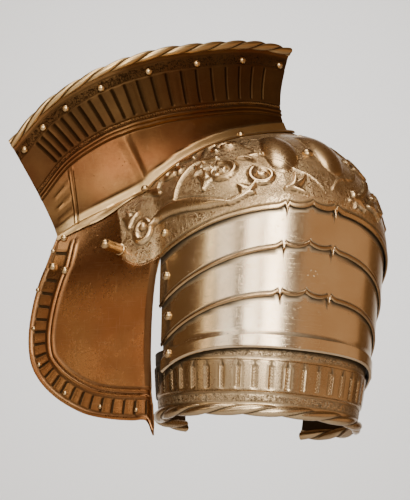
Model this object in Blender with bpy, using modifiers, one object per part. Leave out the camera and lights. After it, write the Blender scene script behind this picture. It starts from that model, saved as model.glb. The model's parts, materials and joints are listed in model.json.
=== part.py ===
"""Left pauldron of a field armour: shoulder plate with its front wing, a standing neck guard
riveted on it, three sliding lames and a roped lower lame. Metres, +Z up, +X out to the side,
-Y to the front. The origin is where the plate sits on top of the shoulder."""
import math

import bmesh
import bpy
from mathutils import Matrix, Vector
from mathutils.bvhtree import BVHTree

# Sheet and fits
plate_gauge = 0.0014
lame_gauge = 0.0012
nesting_gap = 0.0009
tucked_gap = 0.0014
touch_gap = 0.0003

# Arm tube
shoulder_radius = 0.0970
lame_taper = 0.040
lame_end_angle = 85.0
shoulder_rear_angle = 95.0
rear_flatness = 0.15

# Heights of the lower edges over the middle of the arm, and how far the ends hang below them
shoulder_edge_z = -0.0830
shoulder_edge_drop = 0.0420
lame_edges = (
    # name, edge height, drop of the ends, power of the drop, height of the tucked edge, its drop
    ("lame_1", -0.1130, 0.0480, 1.0, -0.0710, 0.0270),
    ("lame_2", -0.1500, 0.0410, 1.25, -0.1010, 0.0310),
    ("lame_3", -0.1900, 0.0200, 2.0, -0.1380, 0.0230),
)
lame_rows = (0.0, 0.40, 0.79, 1.0)
lame_lane_angle = 7.5
step_relief = 0.0008

# Cusped middle of each edge
cusp_centre_angle = -3.5
cusp_half_width = 0.0200
cusp_rise = 0.0040
cusp_power = 0.6
cusp_fade = 0.4
cusp_from = -0.5
nib_length = 0.0045
nib_half_width = 0.0016
nib_power = 1.3
# Places in the cusped middle that a plate's edge needs, as shares of its half width
cusp_marks = (0.0, 0.04, 0.2, 0.5, 0.8, 0.92, 1.0, 1.08, 1.2, 1.4)

# Lower lame
lower_top_z = -0.1780
lower_top_drop = 0.0100
lower_collar = 0.0210
band_width = 0.0230
lower_hem = 0.0140
band_relief = 0.0011
lower_rope_radius = 0.0042
lower_slack = 0.0004
lower_draw = 0.0062
band_top_z = lower_top_z - lower_collar
band_bottom_z = band_top_z - band_width
rope_centre_z = band_bottom_z - lower_hem
lower_front_angle = -155.0
lower_rear_angle = 128.0
lower_strand_pitch = 0.0300
lower_strand_lanes = 4
lower_corner = 0.0006
lower_power = 1.2
lace_hole_radius = 0.0025
lace_hole_angle = 7.0
lace_hole_inset = 0.0060
lace_hole_z = band_top_z - lace_hole_inset

# Pivots, from the shoulder down
pivot_angle = 79.0
pivot_heights = (-0.1000, -0.1330, -0.1640, -0.1930)

# Rivets
bore_length = 0.0170
pivot_head_radius = 0.0030
pivot_head_height = 0.0020
shank_radius = 0.0014
rim_head_radius = 0.0030
rim_head_height = 0.0022
lining_head_radius = 0.0017
lining_head_height = 0.0011
lining_shank_radius = 0.0008
wing_head_radius = 0.0031
wing_head_height = 0.0024
centre_head_radius = 0.0040
centre_head_height = 0.0034
peen_height = 0.0008
peen_gap = 0.0007
peen_share = 0.7
head_shoulder = (0.68, 0.70)
round_steps = 8
seat_reach = 0.0100

# Roped edges
rope_sides = 7
rope_turn = 1.75
rope_lobe = 0.16

# Neck guard
guard_flange = 0.0085
foot_margin = -0.9
guard_tab = 0.0055
guard_tab_half_width = 0.0110
guard_tab_fade = 1.4
guard_flange_rivet_reach = 0.0053
guard_hollow = 0.0085
guard_hollow_power = 0.8
guard_rope_radius = 0.0036
guard_strand_pitch = 0.0220
guard_front_narrowing = 0.16
guard_narrowing_from = 0.0600
guard_narrowing_length = 0.1500
rim_rivet_depth = 0.0125
band_top_depth = 0.0175
band_foot_depth = 0.0420
bead_depth = 0.0485
bead_half_width = 0.0030
bead_height = 0.0012
hollow_depth = 0.0620
guard_strand_lanes = 4
rim_rivet_alongs = (-0.0925, -0.0765, -0.0566, -0.0226, 0.0393, 0.1132, 0.1991, 0.2890)
flange_rivet_alongs = (-0.0910, 0.0000, 0.1680)
flange_head_radius = 0.0027

# Pierced stud on the front
stud_along = -0.0355
stud_z = -0.1100
stud_radius = 0.0032
stud_length = 0.0240
stud_chamfer = 0.0008
stud_collar_radius = 0.0042
stud_peen_radius = 0.0026
stud_collar_height = 0.0016
stud_slot_width = 0.0018
stud_slot_length = 0.0090
stud_slot_end = 0.0045
stud_slot_turn = 45.0

# Rivets in the wing and the shoulder: length along the plate, then height or down coordinate
wing_rivets = ((-0.1010, -0.1210), (-0.0880, -0.1250))
lining_rivets = (
    (-0.1020, -0.1085),
    (-0.1120, -0.1400),
    (-0.1145, -0.1710),
    (-0.1070, -0.2000),
    (-0.0800, -0.2230),
    (-0.0460, -0.2340),
    (-0.0120, -0.2370),
)
centre_rivet_along = 0.1460
centre_rivet_down = -0.425

# Relief on the shoulder
relief_power = 0.75
boss_height = 0.0055
boss_offset = 0.0230
boss_lean = 0.040
boss_up = 0.47
boss_half_width = 0.0150
boss_half_length = 0.22
roll_height = 0.0040
roll_start = 0.0060
roll_end = 0.0650
roll_up = 0.32
roll_end_up = 0.12
roll_half_width = 0.09
roll_narrowing = 0.5

# Shoulder plate and neck guard, one row for each section from the front of the wing round the arm
# to the rear. The first column is the length along the lower edge, counted from the corner between
# wing and arm; then the point where the plate meets the neck guard, and the rim above it.
stations = (
    # along, foot x, foot y, foot z, rim x, rim y, rim z
    (-0.1220, -0.0700, -0.1660, -0.1040, -0.0900, -0.2080, -0.0400),
    (-0.0985, -0.0600, -0.1560, -0.0960, -0.0800, -0.1950, -0.0220),
    (-0.0700, -0.0520, -0.1370, -0.0820, -0.0620, -0.1740, 0.0090),
    (-0.0350, -0.0440, -0.1150, -0.0690, -0.0430, -0.1480, 0.0310),
    (0.0000, -0.0385, -0.0940, -0.0550, -0.0320, -0.1240, 0.0450),
    (0.0300, -0.0360, -0.0800, -0.0410, -0.0290, -0.1070, 0.0530),
    (0.0600, -0.0350, -0.0660, -0.0280, -0.0270, -0.0900, 0.0600),
    (0.1000, -0.0350, -0.0460, -0.0135, -0.0260, -0.0670, 0.0670),
    (0.1500, -0.0370, -0.0220, -0.0010, -0.0290, -0.0400, 0.0750),
    (0.2000, -0.0420, -0.0020, 0.0070, -0.0340, -0.0140, 0.0820),
    (0.2500, -0.0480, 0.0170, 0.0140, -0.0420, 0.0100, 0.0870),
    (0.3050, -0.0560, 0.0370, 0.0205, -0.0530, 0.0360, 0.0900),
)

# Wing
wing_corner_angle = -82.0
wing_far_x = -0.0800
wing_far_y = -0.1700
wing_far_along = -0.1230
wing_blend = 0.0080
wing_waist_far_z = -0.1220
wing_down_unit = 0.1000
wing_lanes = 10
wing_rows = 9
shoulder_rows = 8
shoulder_lane_angle = 9.5

# Outline of the wing in its own face: length from the arm edge, height
wing_side = (
    (-0.0985, -0.0960),
    (-0.1040, -0.1080),
    (-0.1110, -0.1310),
    (-0.1165, -0.1550),
    (-0.1185, -0.1780),
    (-0.1150, -0.1980),
    (-0.1060, -0.2120),
    (-0.0920, -0.2240),
)
wing_bottom = (
    (-0.0920, -0.2240),
    (-0.0750, -0.2335),
    (-0.0560, -0.2405),
    (-0.0330, -0.2440),
    (-0.0140, -0.2450),
    (-0.0030, -0.2450),
    (0.0090, -0.2570),
)
wing_arm_edge = (
    (0.0000, -0.1240),
    (-0.0025, -0.1600),
    (-0.0020, -0.1950),
    (0.0010, -0.2200),
    (0.0050, -0.2400),
    (0.0090, -0.2570),
)


def spline(rows, at):
    """Smooth curve through the rows, read at a value of their first column."""
    last = len(rows) - 1
    i = 0
    while i < last - 1 and at > rows[i + 1][0]:
        i += 1
    x0, x1 = rows[i][0], rows[i + 1][0]
    t = (at - x0) / (x1 - x0)
    before = rows[max(i - 1, 0)]
    after = rows[min(i + 2, last)]
    result = []
    for k in range(1, len(rows[0])):
        y0, y1 = rows[i][k], rows[i + 1][k]
        m0 = (y1 - before[k]) / (x1 - before[0]) * (x1 - x0)
        m1 = (after[k] - y0) / (after[0] - x0) * (x1 - x0)
        a = 2 * t ** 3 - 3 * t ** 2 + 1
        b = t ** 3 - 2 * t ** 2 + t
        c = 3 * t ** 2 - 2 * t ** 3
        d = t ** 3 - t ** 2
        result.append(a * y0 + b * m0 + c * y1 + d * m1)
    return result


def chain(points, share):
    """Point at a share of the way along a smooth chain of points."""
    lengths = [0.0]
    for p, q in zip(points, points[1:]):
        lengths.append(lengths[-1] + math.dist(p, q))
    rows = [(s / lengths[-1], *p) for s, p in zip(lengths, points)]
    return spline(rows, share)


def angle_at(along):
    """Angle round the arm, in degrees, at a length along the shoulder plate's lower edge."""
    return wing_corner_angle + math.degrees(along / shoulder_radius)


def along_at(angle):
    return math.radians(angle - wing_corner_angle) * shoulder_radius


def smooth(value):
    value = min(max(value, 0.0), 1.0)
    return value * value * (3 - 2 * value)


def plan_at(along):
    """Plan of the shoulder plate's lower edge: the arm's circle, and the wing's line in front."""
    corner = math.radians(wing_corner_angle)
    start = Vector((math.cos(corner), math.sin(corner))) * shoulder_radius
    turn = math.radians(angle_at(along))
    arc = Vector((math.cos(turn), math.sin(turn))) * shoulder_radius
    line = start + (Vector((wing_far_x, wing_far_y)) - start) * (along / wing_far_along)
    return arc.lerp(line, smooth((wing_blend - along) / (2 * wing_blend)))


def edge_height(along):
    """Height of the shoulder plate's lower edge, and of the line that carries it over the wing."""
    if along >= 0:
        turn = math.radians(min(angle_at(along), 180.0))
        return shoulder_edge_z - shoulder_edge_drop * (1 - math.cos(turn))
    corner = edge_height(0.0)
    return corner + (wing_waist_far_z - corner) * (along / wing_far_along)


def cusp(angle, radius):
    """Rise of a plate's lower edge near its middle: two scallops between two hanging nibs."""
    w = abs(math.radians(angle - cusp_centre_angle)) * radius
    if w < cusp_half_width:
        t = w / cusp_half_width
        rise = cusp_rise * (1 - abs(math.sin(math.pi * t)) ** cusp_power)
    else:
        beyond = (w - cusp_half_width) / (cusp_fade * cusp_half_width)
        rise = cusp_rise * max(0.0, 1 - beyond) ** 2
    nib = max(0.0, 1 - abs(w - cusp_half_width) / nib_half_width)
    return rise - (cusp_rise + nib_length) * nib ** nib_power


def cusp_angles(radius):
    """Angles round the arm that the cusped middle needs."""
    turn = math.degrees(cusp_half_width / radius)
    return sorted({cusp_centre_angle + side * m * turn for m in cusp_marks for side in (-1, 1)})


def angles_between(first, last, step, radius):
    """Regular angles, with the cusps' own ones in place of those that they cover."""
    fine = cusp_angles(radius)
    count = round((last - first) / step)
    coarse = [first + (last - first) * i / count for i in range(count + 1)]
    kept = [a for a in coarse if a < fine[0] - step * 0.4 or a > fine[-1] + step * 0.4]
    return sorted(kept + fine)


def shoulder_relief(along, up):
    """Raised forms on the shoulder: two ovoid bosses, and a roll that runs in from a volute."""
    height = 0.0
    for side in (-1, 1):
        x = (along - centre_rivet_along - side * boss_offset - boss_lean * (up - boss_up))
        y = up - boss_up
        inside = 1 - (x / boss_half_width) ** 2 - (y / boss_half_length) ** 2
        height = max(height, boss_height * max(0.0, inside) ** relief_power)
    reach = (along - roll_start) / (roll_end - roll_start)
    if 0 <= reach <= 1:
        spine = roll_up + (roll_end_up - roll_up) * reach
        width = roll_half_width * (1 - roll_narrowing * reach)
        inside = 1 - ((up - spine) / width) ** 2
        height = max(height, roll_height * max(0.0, inside) ** relief_power
                     * math.sin(math.pi * reach))
    return height


def section_flatness(along):
    """Power of a section's curve: 1 is a quarter ellipse and 2 is straight, as on the wing."""
    if along < 0:
        return 1.0 + smooth(along / stations[2][0])
    return 1.0 + rear_flatness * smooth(2 * along / stations[-1][0] - 1)


def shoulder_base(along, down):
    """Outer face of the shoulder plate. Down runs from -1 at the neck guard through 0 at the
    lower edge, and on in tenths of a metre over the wing."""
    plan = plan_at(along)
    edge = Vector((plan.x, plan.y, edge_height(along)))
    if down >= 0:
        return edge - Vector((0, 0, wing_down_unit * down))
    foot = Vector(spline(stations, along)[:3])
    turn = -down * math.pi / 2
    flat = section_flatness(along)
    inward = 1 - math.cos(turn) ** flat
    upward = math.sin(turn) ** flat
    return Vector((
        edge.x + (foot.x - edge.x) * inward,
        edge.y + (foot.y - edge.y) * inward,
        edge.z + (foot.z - edge.z) * upward,
    ))


def shoulder_normal(along, down):
    step = 0.0005
    share = 0.01
    low, high = max(down - share, -1.0), down + share
    across = shoulder_base(along + step, down) - shoulder_base(along - step, down)
    fall = shoulder_base(along, high) - shoulder_base(along, low)
    return fall.cross(across).normalized()


def shoulder(along, down):
    point = shoulder_base(along, down)
    if -1 < down < 0 and along > 0:
        point += shoulder_normal(along, down) * shoulder_relief(along, -down)
    return point


def wing_down(along, z):
    """Down coordinate of a height on the wing's face."""
    edge = edge_height(along)
    if z <= edge:
        return (edge - z) / wing_down_unit
    foot = spline(stations, along)[2]
    share = min((z - edge) / (foot - edge), 1.0)
    return -math.asin(share ** (1 / section_flatness(along))) / (math.pi / 2)


def lame_radius(order, z):
    """Outer radius of the plate that is this many layers in from the shoulder."""
    outer = shoulder_radius - plate_gauge + lame_gauge - order * (lame_gauge + nesting_gap)
    return outer + lame_taper * (z - shoulder_edge_z)


def tucked_radius(order, angle, z):
    """Outer radius of a lame, drawn in where it runs up under the shoulder's curve."""
    radius = lame_radius(order, z)
    along = along_at(angle)
    edge = edge_height(along)
    if order > 1 or z <= edge:
        return radius
    foot = Vector(spline(stations, along)[:3])
    plan = plan_at(along)
    flat = section_flatness(along)
    turn = math.asin(min((z - edge) / (foot.z - edge), 1.0) ** (1 / flat))
    reach = (plan.x - foot.x) * plan.x / plan.length + (plan.y - foot.y) * plan.y / plan.length
    inner = plan.length - reach * (1 - math.cos(turn) ** flat) - plate_gauge
    return min(radius, inner - tucked_gap)


def arm_point(angle, radius, z):
    turn = math.radians(angle)
    return Vector((radius * math.cos(turn), radius * math.sin(turn), z))


def material(name, colour, roughness):
    made = bpy.data.materials.new(name)
    made.use_nodes = True
    shader = made.node_tree.nodes["Principled BSDF"]
    shader.inputs["Base Color"].default_value = (*colour, 1.0)
    shader.inputs["Metallic"].default_value = 1.0
    shader.inputs["Roughness"].default_value = roughness
    return made


def collection(name):
    made = bpy.data.collections.new(name)
    bpy.context.scene.collection.children.link(made)
    return made


def put(name, mesh, finish, group):
    body = bpy.data.objects.new(name, mesh)
    if finish:
        mesh.materials.append(finish)
    group.objects.link(body)
    return body


def grid_mesh(name, rows):
    """Open surface through rows of points."""
    bm = bmesh.new()
    verts = [[bm.verts.new(p) for p in row] for row in rows]
    for upper, lower in zip(verts, verts[1:]):
        for k in range(len(upper) - 1):
            bm.faces.new((upper[k], lower[k], lower[k + 1], upper[k + 1]))
    mesh = bpy.data.meshes.new(name)
    bm.to_mesh(mesh)
    bm.free()
    return mesh


def loft_mesh(name, rings):
    """Closed body through rings of points, with a face at each end."""
    bm = bmesh.new()
    verts = [[bm.verts.new(p) for p in ring] for ring in rings]
    size = len(rings[0])
    for first, second in zip(verts, verts[1:]):
        for k in range(size):
            n = (k + 1) % size
            bm.faces.new((first[k], first[n], second[n], second[k]))
    bm.faces.new(verts[0])
    bm.faces.new(list(reversed(verts[-1])))
    bmesh.ops.recalc_face_normals(bm, faces=bm.faces)
    mesh = bpy.data.meshes.new(name)
    bm.to_mesh(mesh)
    bm.free()
    return mesh


def thicken(body, gauge):
    wall = body.modifiers.new("wall", "SOLIDIFY")
    wall.thickness = gauge
    wall.offset = -1.0
    wall.use_even_offset = True


def seat(point, normal):
    """Placement with +Z along the outward normal."""
    return Matrix.Translation(point) @ normal.to_track_quat("Z", "Y").to_matrix().to_4x4()


def seat_on(body, point, normal):
    """Placement on the real face of a plate, met along the normal from outside."""
    if body.name not in faces:
        faces[body.name] = BVHTree.FromObject(body, bpy.context.evaluated_depsgraph_get())
    spot, face_normal, index, distance = faces[body.name].ray_cast(point + seat_reach * normal, -normal)
    return seat(spot, face_normal)


def grip_at(body, place):
    """Depth from a rivet's seat to the inner face of the last plate that it holds."""
    if body.name not in faces:
        faces[body.name] = BVHTree.FromObject(body, bpy.context.evaluated_depsgraph_get())
    spot = place.translation
    normal = place.to_3x3() @ Vector((0, 0, 1))
    deep = spot - 2 * seat_reach * normal
    inner = faces[body.name].ray_cast(deep, normal)[0]
    return (spot - inner).length


def cut_with(body, cutter):
    cutter.hide_render = True
    cutter.display_type = "WIRE"
    cut = body.modifiers.new("cut", "BOOLEAN")
    cut.operation = "DIFFERENCE"
    cut.solver = "EXACT"
    cut.object = cutter


def drill(body, holes):
    """Holes through a plate, each along the normal at its place: (place, radius) pairs."""
    bm = bmesh.new()
    for place, radius in holes:
        bmesh.ops.create_cone(bm, cap_ends=True, segments=round_steps, radius1=radius, radius2=radius,
                              depth=bore_length, matrix=place)
    mesh = bpy.data.meshes.new(body.name + "_drill")
    bm.to_mesh(mesh)
    bm.free()
    cut_with(body, put(body.name + "_drill", mesh, None, cutters))


def profile_mesh(name, profile):
    mesh = bpy.data.meshes.new(name)
    mesh.from_pydata([(x, 0, z) for x, z in profile],
                     [(i, i + 1) for i in range(len(profile) - 1)], [])
    mesh.materials.append(rivet_steel)
    return mesh


def rivet_mesh(name, head_radius, head_height, shank, grip):
    """Round head above the face at z = 0, shank through the sheets, peened end behind them."""
    inner = -grip - peen_gap
    return profile_mesh(name, (
        (0.0, touch_gap + head_height),
        (head_radius * head_shoulder[0], touch_gap + head_height * head_shoulder[1]),
        (head_radius, touch_gap),
        (shank, touch_gap),
        (shank, inner),
        (head_radius * peen_share, inner),
        (0.0, inner - peen_height),
    ))


def rivet(name, mesh, place):
    body = put(name, mesh, None, parts)
    body.matrix_world = place
    turn = body.modifiers.new("turn", "SCREW")
    turn.axis = "Z"
    turn.steps = round_steps
    turn.render_steps = round_steps
    turn.use_merge_vertices = True
    turn.merge_threshold = 0.00001
    turn.use_smooth_shade = True
    return body


def rope_ring(centre, out, up, radius, travelled, pitch):
    """Points round a roped edge, from the outside over the far side to the inside."""
    ring = []
    for k in range(rope_sides):
        turn = math.pi * (0.5 - rope_turn * (k + 0.5) / rope_sides)
        lobe = 1 + rope_lobe * math.cos(2 * turn - 2 * math.pi * travelled / pitch)
        ring.append(centre + (out * math.cos(turn) + up * math.sin(turn)) * radius * lobe)
    return ring


def make_shoulder_plate():
    """Shoulder and wing in one sheet, thickened inward."""
    first = along_at(wing_corner_angle)
    last = along_at(shoulder_rear_angle)
    lanes = [along_at(a) for a in angles_between(wing_corner_angle, shoulder_rear_angle,
                                                 shoulder_lane_angle,
                                                 shoulder_radius)]
    lanes[0], lanes[-1] = first, last

    def arm_row(i):
        down = -1 + i / shoulder_rows
        row = []
        for along in lanes:
            p = shoulder(along, down)
            if down > cusp_from:
                share = 1 - down / cusp_from
                p.z += share ** 3 * cusp(angle_at(along), shoulder_radius)
            row.append(p)
        return row

    bm = bmesh.new()
    arm = [[bm.verts.new(p) for p in arm_row(i)] for i in range(shoulder_rows + 1)]

    rows = shoulder_rows + wing_rows
    top_left, bottom_left = wing_side[0], wing_bottom[0]
    tip = wing_bottom[-1]

    def domain_right(i):
        if i <= shoulder_rows:
            return (0.0, -1 + i / shoulder_rows)
        x, z = chain(wing_arm_edge, (i - shoulder_rows) / wing_rows)
        return (x, wing_down(x, z))

    def domain_left(i):
        if i == 0:
            return (top_left[0], -1.0)
        x, z = chain(wing_side, i / rows)
        return (x, wing_down(x, z))

    def domain_top(j):
        return (top_left[0] * (1 - j / wing_lanes), -1.0)

    def domain_bottom(j):
        x, z = chain(wing_bottom, j / wing_lanes)
        return (x, wing_down(x, z))

    corners = (domain_top(0), domain_top(wing_lanes), domain_bottom(0), domain_bottom(wing_lanes))
    wing = []
    for i in range(rows + 1):
        v = i / rows
        line = []
        for j in range(wing_lanes + 1):
            if j == wing_lanes and i <= shoulder_rows:
                line.append(arm[i][0])
                continue
            u = j / wing_lanes
            spot = []
            for k in range(2):
                sides = (1 - u) * domain_left(i)[k] + u * domain_right(i)[k]
                ends = (1 - v) * domain_top(j)[k] + v * domain_bottom(j)[k]
                bend = ((1 - u) * (1 - v) * corners[0][k] + u * (1 - v) * corners[1][k]
                        + (1 - u) * v * corners[2][k] + u * v * corners[3][k])
                spot.append(sides + ends - bend)
            line.append(bm.verts.new(shoulder(spot[0], spot[1])))
        wing.append(line)

    for block in (arm, wing):
        for upper, lower in zip(block, block[1:]):
            for k in range(len(upper) - 1):
                bm.faces.new((upper[k], lower[k], lower[k + 1], upper[k + 1]))
    mesh = bpy.data.meshes.new("shoulder_plate")
    bm.to_mesh(mesh)
    bm.free()
    body = put("shoulder_plate", mesh, russet, parts)
    thicken(body, plate_gauge)
    return body


def make_lame(order, row):
    name, edge, drop, power, top, top_drop = row
    cusped = name != lame_edges[-1][0]
    if cusped:
        angles = angles_between(-lame_end_angle, lame_end_angle, lame_lane_angle,
                                lame_radius(order, edge))
    else:
        lanes = round(2 * lame_end_angle / lame_lane_angle)
        angles = [lame_end_angle * (2 * i / lanes - 1) for i in range(lanes + 1)]
    rows = []
    for share in lame_rows:
        line = []
        for angle in angles:
            fall = 1 - math.cos(math.radians(angle))
            high = top - top_drop * fall
            low = edge - drop * fall ** power
            if cusped:
                low += cusp(angle, lame_radius(order, edge))
            z = high + (low - high) * share
            radius = tucked_radius(order, angle, z)
            if share == lame_rows[-1] and not cusped:
                radius += step_relief
            line.append(arm_point(angle, radius, z))
        rows.append(line)
    body = put(name, grid_mesh(name, rows), bright, parts)
    thicken(body, lame_gauge)
    return body


def lower_radius(z):
    """Outer radius of the lower lame, with its raised band."""
    share = max(lower_top_z - z, 0.0) / (lower_top_z - rope_centre_z)
    radius = lame_radius(len(lame_edges) + 1, lower_top_z) - lower_slack
    radius -= lower_draw * share ** lower_power
    if band_bottom_z < z < band_top_z:
        radius += band_relief
    return radius


def make_lower_lame():
    span = lower_rear_angle - lower_front_angle
    bottom_radius = lower_radius(rope_centre_z)
    count = round(math.radians(span) * bottom_radius / (lower_strand_pitch / lower_strand_lanes))
    rings = []
    for i in range(count + 1):
        angle = lower_front_angle + span * i / count
        turn = math.radians(angle)
        out = Vector((math.cos(turn), math.sin(turn), 0))
        up = Vector((0, 0, 1))
        top = lower_top_z - lower_top_drop * min(1 - math.cos(turn), 1.0)
        heights = (top, band_top_z + lower_corner, band_top_z - lower_corner,
                   band_bottom_z + lower_corner, band_bottom_z - lower_corner,
                   rope_centre_z + lower_rope_radius)
        outer = [out * lower_radius(z) + up * z for z in heights]
        inner = [out * (lower_radius(z) - lame_gauge) + up * z for z in reversed(heights)]
        centre = out * (bottom_radius - lame_gauge / 2) + up * rope_centre_z
        travelled = turn * bottom_radius
        rope = rope_ring(centre, out, up, lower_rope_radius, travelled, lower_strand_pitch)
        rings.append(outer + rope + inner)
    return put("lower_lame", loft_mesh("lower_lame", rings), bright, parts)


def guard_frame(along):
    """Foot and rim of the neck guard at a station, and the outward direction between them."""
    row = spline(stations, along)
    foot, rim = Vector(row[:3]), Vector(row[3:])
    step = 0.004
    ahead = Vector(spline(stations, along + step)[3:])
    behind = Vector(spline(stations, along - step)[3:])
    outward = (rim - foot).cross(behind - ahead).normalized()
    return foot, rim, outward


def guard_depth(along, depth):
    """Depth below the rim of the guard's borders, which draw together toward the front."""
    front = smooth((guard_narrowing_from - along) / guard_narrowing_length)
    return depth * (1 - guard_front_narrowing * front)


def guard_face(along, depth, rise=0.0):
    """Outer face of the neck guard, this far below its rim, or at its foot for no depth."""
    foot, rim, outward = guard_frame(along)
    start = foot + shoulder_normal(along, foot_margin) * (touch_gap + plate_gauge)
    height = (rim - start).length
    share = 0.0 if depth is None else max(0.0, 1 - guard_depth(along, depth) / height)
    hollow = guard_hollow * math.sin(math.pi * share ** guard_hollow_power)
    return start.lerp(rim, share) + outward * (rise - hollow)


def foot_down(along, reach):
    """Down coordinate of the point on the shoulder this far from the guard's foot."""
    step = 0.002
    down = -1.0
    last = shoulder_base(along, down)
    travelled = 0.0
    while True:
        here = shoulder_base(along, down + step)
        stride = (here - last).length
        if travelled + stride >= reach:
            return down + step * (reach - travelled) / stride
        travelled += stride
        down += step
        last = here


def flange_reach(along):
    """Width of the guard's flange, with its tab round the middle rivet."""
    off = abs(along - flange_rivet_alongs[1]) / guard_tab_half_width
    return guard_flange + guard_tab * smooth(guard_tab_fade - off)


def guard_flange_point(along, reach, lift):
    down = foot_down(along, reach)
    return shoulder_base(along, down) + shoulder_normal(along, down) * (touch_gap + lift)


def guard_alongs():
    """Stations of the neck guard, evenly spaced along its rim."""
    samples = 400
    first, last = stations[1][0], stations[-1][0]
    alongs = [first + (last - first) * i / samples for i in range(samples + 1)]
    rims = [Vector(spline(stations, a)[3:]) for a in alongs]
    lengths = [0.0]
    for p, q in zip(rims, rims[1:]):
        lengths.append(lengths[-1] + (q - p).length)
    count = round(lengths[-1] / (guard_strand_pitch / guard_strand_lanes))
    result = []
    k = 0
    for i in range(count + 1):
        target = lengths[-1] * i / count
        while k < samples - 1 and lengths[k + 1] < target:
            k += 1
        t = (target - lengths[k]) / (lengths[k + 1] - lengths[k])
        result.append((alongs[k] + (alongs[k + 1] - alongs[k]) * t, target))
    return result


def make_neck_guard():
    depths = (
        (None, 0.0),
        (hollow_depth, 0.0),
        (bead_depth + bead_half_width, 0.0),
        (bead_depth, bead_height),
        (bead_depth - bead_half_width, 0.0),
        (guard_rope_radius, 0.0),
    )
    rings = []
    for along, travelled in guard_alongs():
        face = [guard_face(along, depth, rise) for depth, rise in depths]
        foot, rim, outward = guard_frame(along)
        up = (face[-1] - face[-2]).normalized()
        over = (outward - up * outward.dot(up)).normalized()
        inner = [p - over * plate_gauge for p in reversed(face)]
        reach = flange_reach(along)
        lip = [guard_flange_point(along, reach, lift) for lift in (0.0, plate_gauge)]
        rope = rope_ring(rim - over * plate_gauge / 2, over, -up, guard_rope_radius, travelled,
                         guard_strand_pitch)
        rings.append([lip[1]] + face + rope + inner + [lip[0]])
    return put("neck_guard", loft_mesh("neck_guard", rings), russet, parts)


def pivot_places():
    """Seats of the pivot rivets, in line front and rear: name, order of the plate, place."""
    x = shoulder_radius * math.cos(math.radians(pivot_angle))
    seats = []
    for order, z in enumerate(pivot_heights):
        for side, end in ((-1, "front"), (1, "rear")):
            outside = Vector((x, side * shoulder_radius, z))
            place = seat_on(plates[order], outside, Vector((0, side, 0)))
            seats.append((f"pivot_rivet_{end}_{order + 1}", order, place))
    return seats


def wing_seat(along, z):
    down = wing_down(along, z)
    return seat_on(shoulder_plate, shoulder_base(along, down), shoulder_normal(along, down))


def make_stud(place):
    """Stud with a long hole through its end, for the pin that locks a second plate on it."""
    inner = -plate_gauge - peen_gap
    tip = stud_length
    profile = (
        (0.0, tip),
        (stud_radius - stud_chamfer, tip),
        (stud_radius, tip - stud_chamfer),
        (stud_radius, touch_gap + stud_collar_height),
        (stud_collar_radius, touch_gap + stud_collar_height),
        (stud_collar_radius, touch_gap),
        (shank_radius, touch_gap),
        (shank_radius, inner),
        (stud_peen_radius, inner),
        (stud_peen_radius, inner - peen_height),
        (0.0, inner - peen_height),
    )
    stud = rivet("pierced_stud", profile_mesh("pierced_stud", profile), place)
    bm = bmesh.new()
    middle = tip - stud_slot_end - stud_slot_length / 2
    bmesh.ops.create_cube(bm, size=1.0)
    bmesh.ops.scale(bm, vec=(4 * stud_radius, stud_slot_width, stud_slot_length), verts=bm.verts)
    bmesh.ops.translate(bm, vec=(0, 0, middle), verts=bm.verts)
    bmesh.ops.transform(bm, matrix=place @ Matrix.Rotation(math.radians(stud_slot_turn), 4, "Z"),
                        verts=bm.verts)
    mesh = bpy.data.meshes.new("stud_slot")
    bm.to_mesh(mesh)
    bm.free()
    cut_with(stud, put("stud_slot", mesh, None, cutters))
    return stud


for old in list(bpy.data.objects):
    bpy.data.objects.remove(old, do_unlink=True)
parts = collection("pauldron")
cutters = collection("cutters")
russet = material("russet_steel", (0.30, 0.17, 0.09), 0.34)
bright = material("polished_steel", (0.62, 0.50, 0.36), 0.26)
rivet_steel = material("rivet_steel", (0.66, 0.52, 0.36), 0.30)

shoulder_plate = make_shoulder_plate()
neck_guard = make_neck_guard()
lames = [make_lame(i + 1, row) for i, row in enumerate(lame_edges)]
lower_lame = make_lower_lame()
plates = [shoulder_plate] + lames + [lower_lame]
faces = {}
bores = {plate.name: [] for plate in plates + [neck_guard]}
bore_radius = shank_radius + touch_gap

for name, order, place in pivot_places():
    grip = grip_at(plates[order + 1], place)
    rivet(name, rivet_mesh(name, pivot_head_radius, pivot_head_height, shank_radius, grip), place)
    bores[plates[order].name].append((place, bore_radius))
    bores[plates[order + 1].name].append((place, bore_radius))

rim_mesh = rivet_mesh("rim_rivet", rim_head_radius, rim_head_height, shank_radius, plate_gauge)
for i, along in enumerate(rim_rivet_alongs):
    outward = guard_frame(along)[2]
    place = seat_on(neck_guard, guard_face(along, rim_rivet_depth), outward)
    rivet(f"rim_rivet_{i + 1}", rim_mesh, place)
    bores["neck_guard"].append((place, bore_radius))

for i, along in enumerate(flange_rivet_alongs):
    reach = guard_flange_rivet_reach + 0.5 * (flange_reach(along) - guard_flange)
    normal = shoulder_normal(along, foot_down(along, reach))
    place = seat_on(neck_guard, guard_flange_point(along, reach, plate_gauge), normal)
    name = f"flange_rivet_{i + 1}"
    grip = grip_at(shoulder_plate, place)
    rivet(name, rivet_mesh(name, flange_head_radius, rim_head_height, shank_radius, grip), place)
    bores["neck_guard"].append((place, bore_radius))
    bores["shoulder_plate"].append((place, bore_radius))

wing_mesh = rivet_mesh("wing_rivet", wing_head_radius, wing_head_height, shank_radius,
                       plate_gauge)
for i, (along, z) in enumerate(wing_rivets):
    place = wing_seat(along, z)
    rivet(f"wing_rivet_{i + 1}", wing_mesh, place)
    bores["shoulder_plate"].append((place, bore_radius))

lining_mesh = rivet_mesh("lining_rivet", lining_head_radius, lining_head_height,
                         lining_shank_radius, plate_gauge)
for i, (along, z) in enumerate(lining_rivets):
    place = wing_seat(along, z)
    rivet(f"lining_rivet_{i + 1}", lining_mesh, place)
    bores["shoulder_plate"].append((place, lining_shank_radius + touch_gap))

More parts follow.
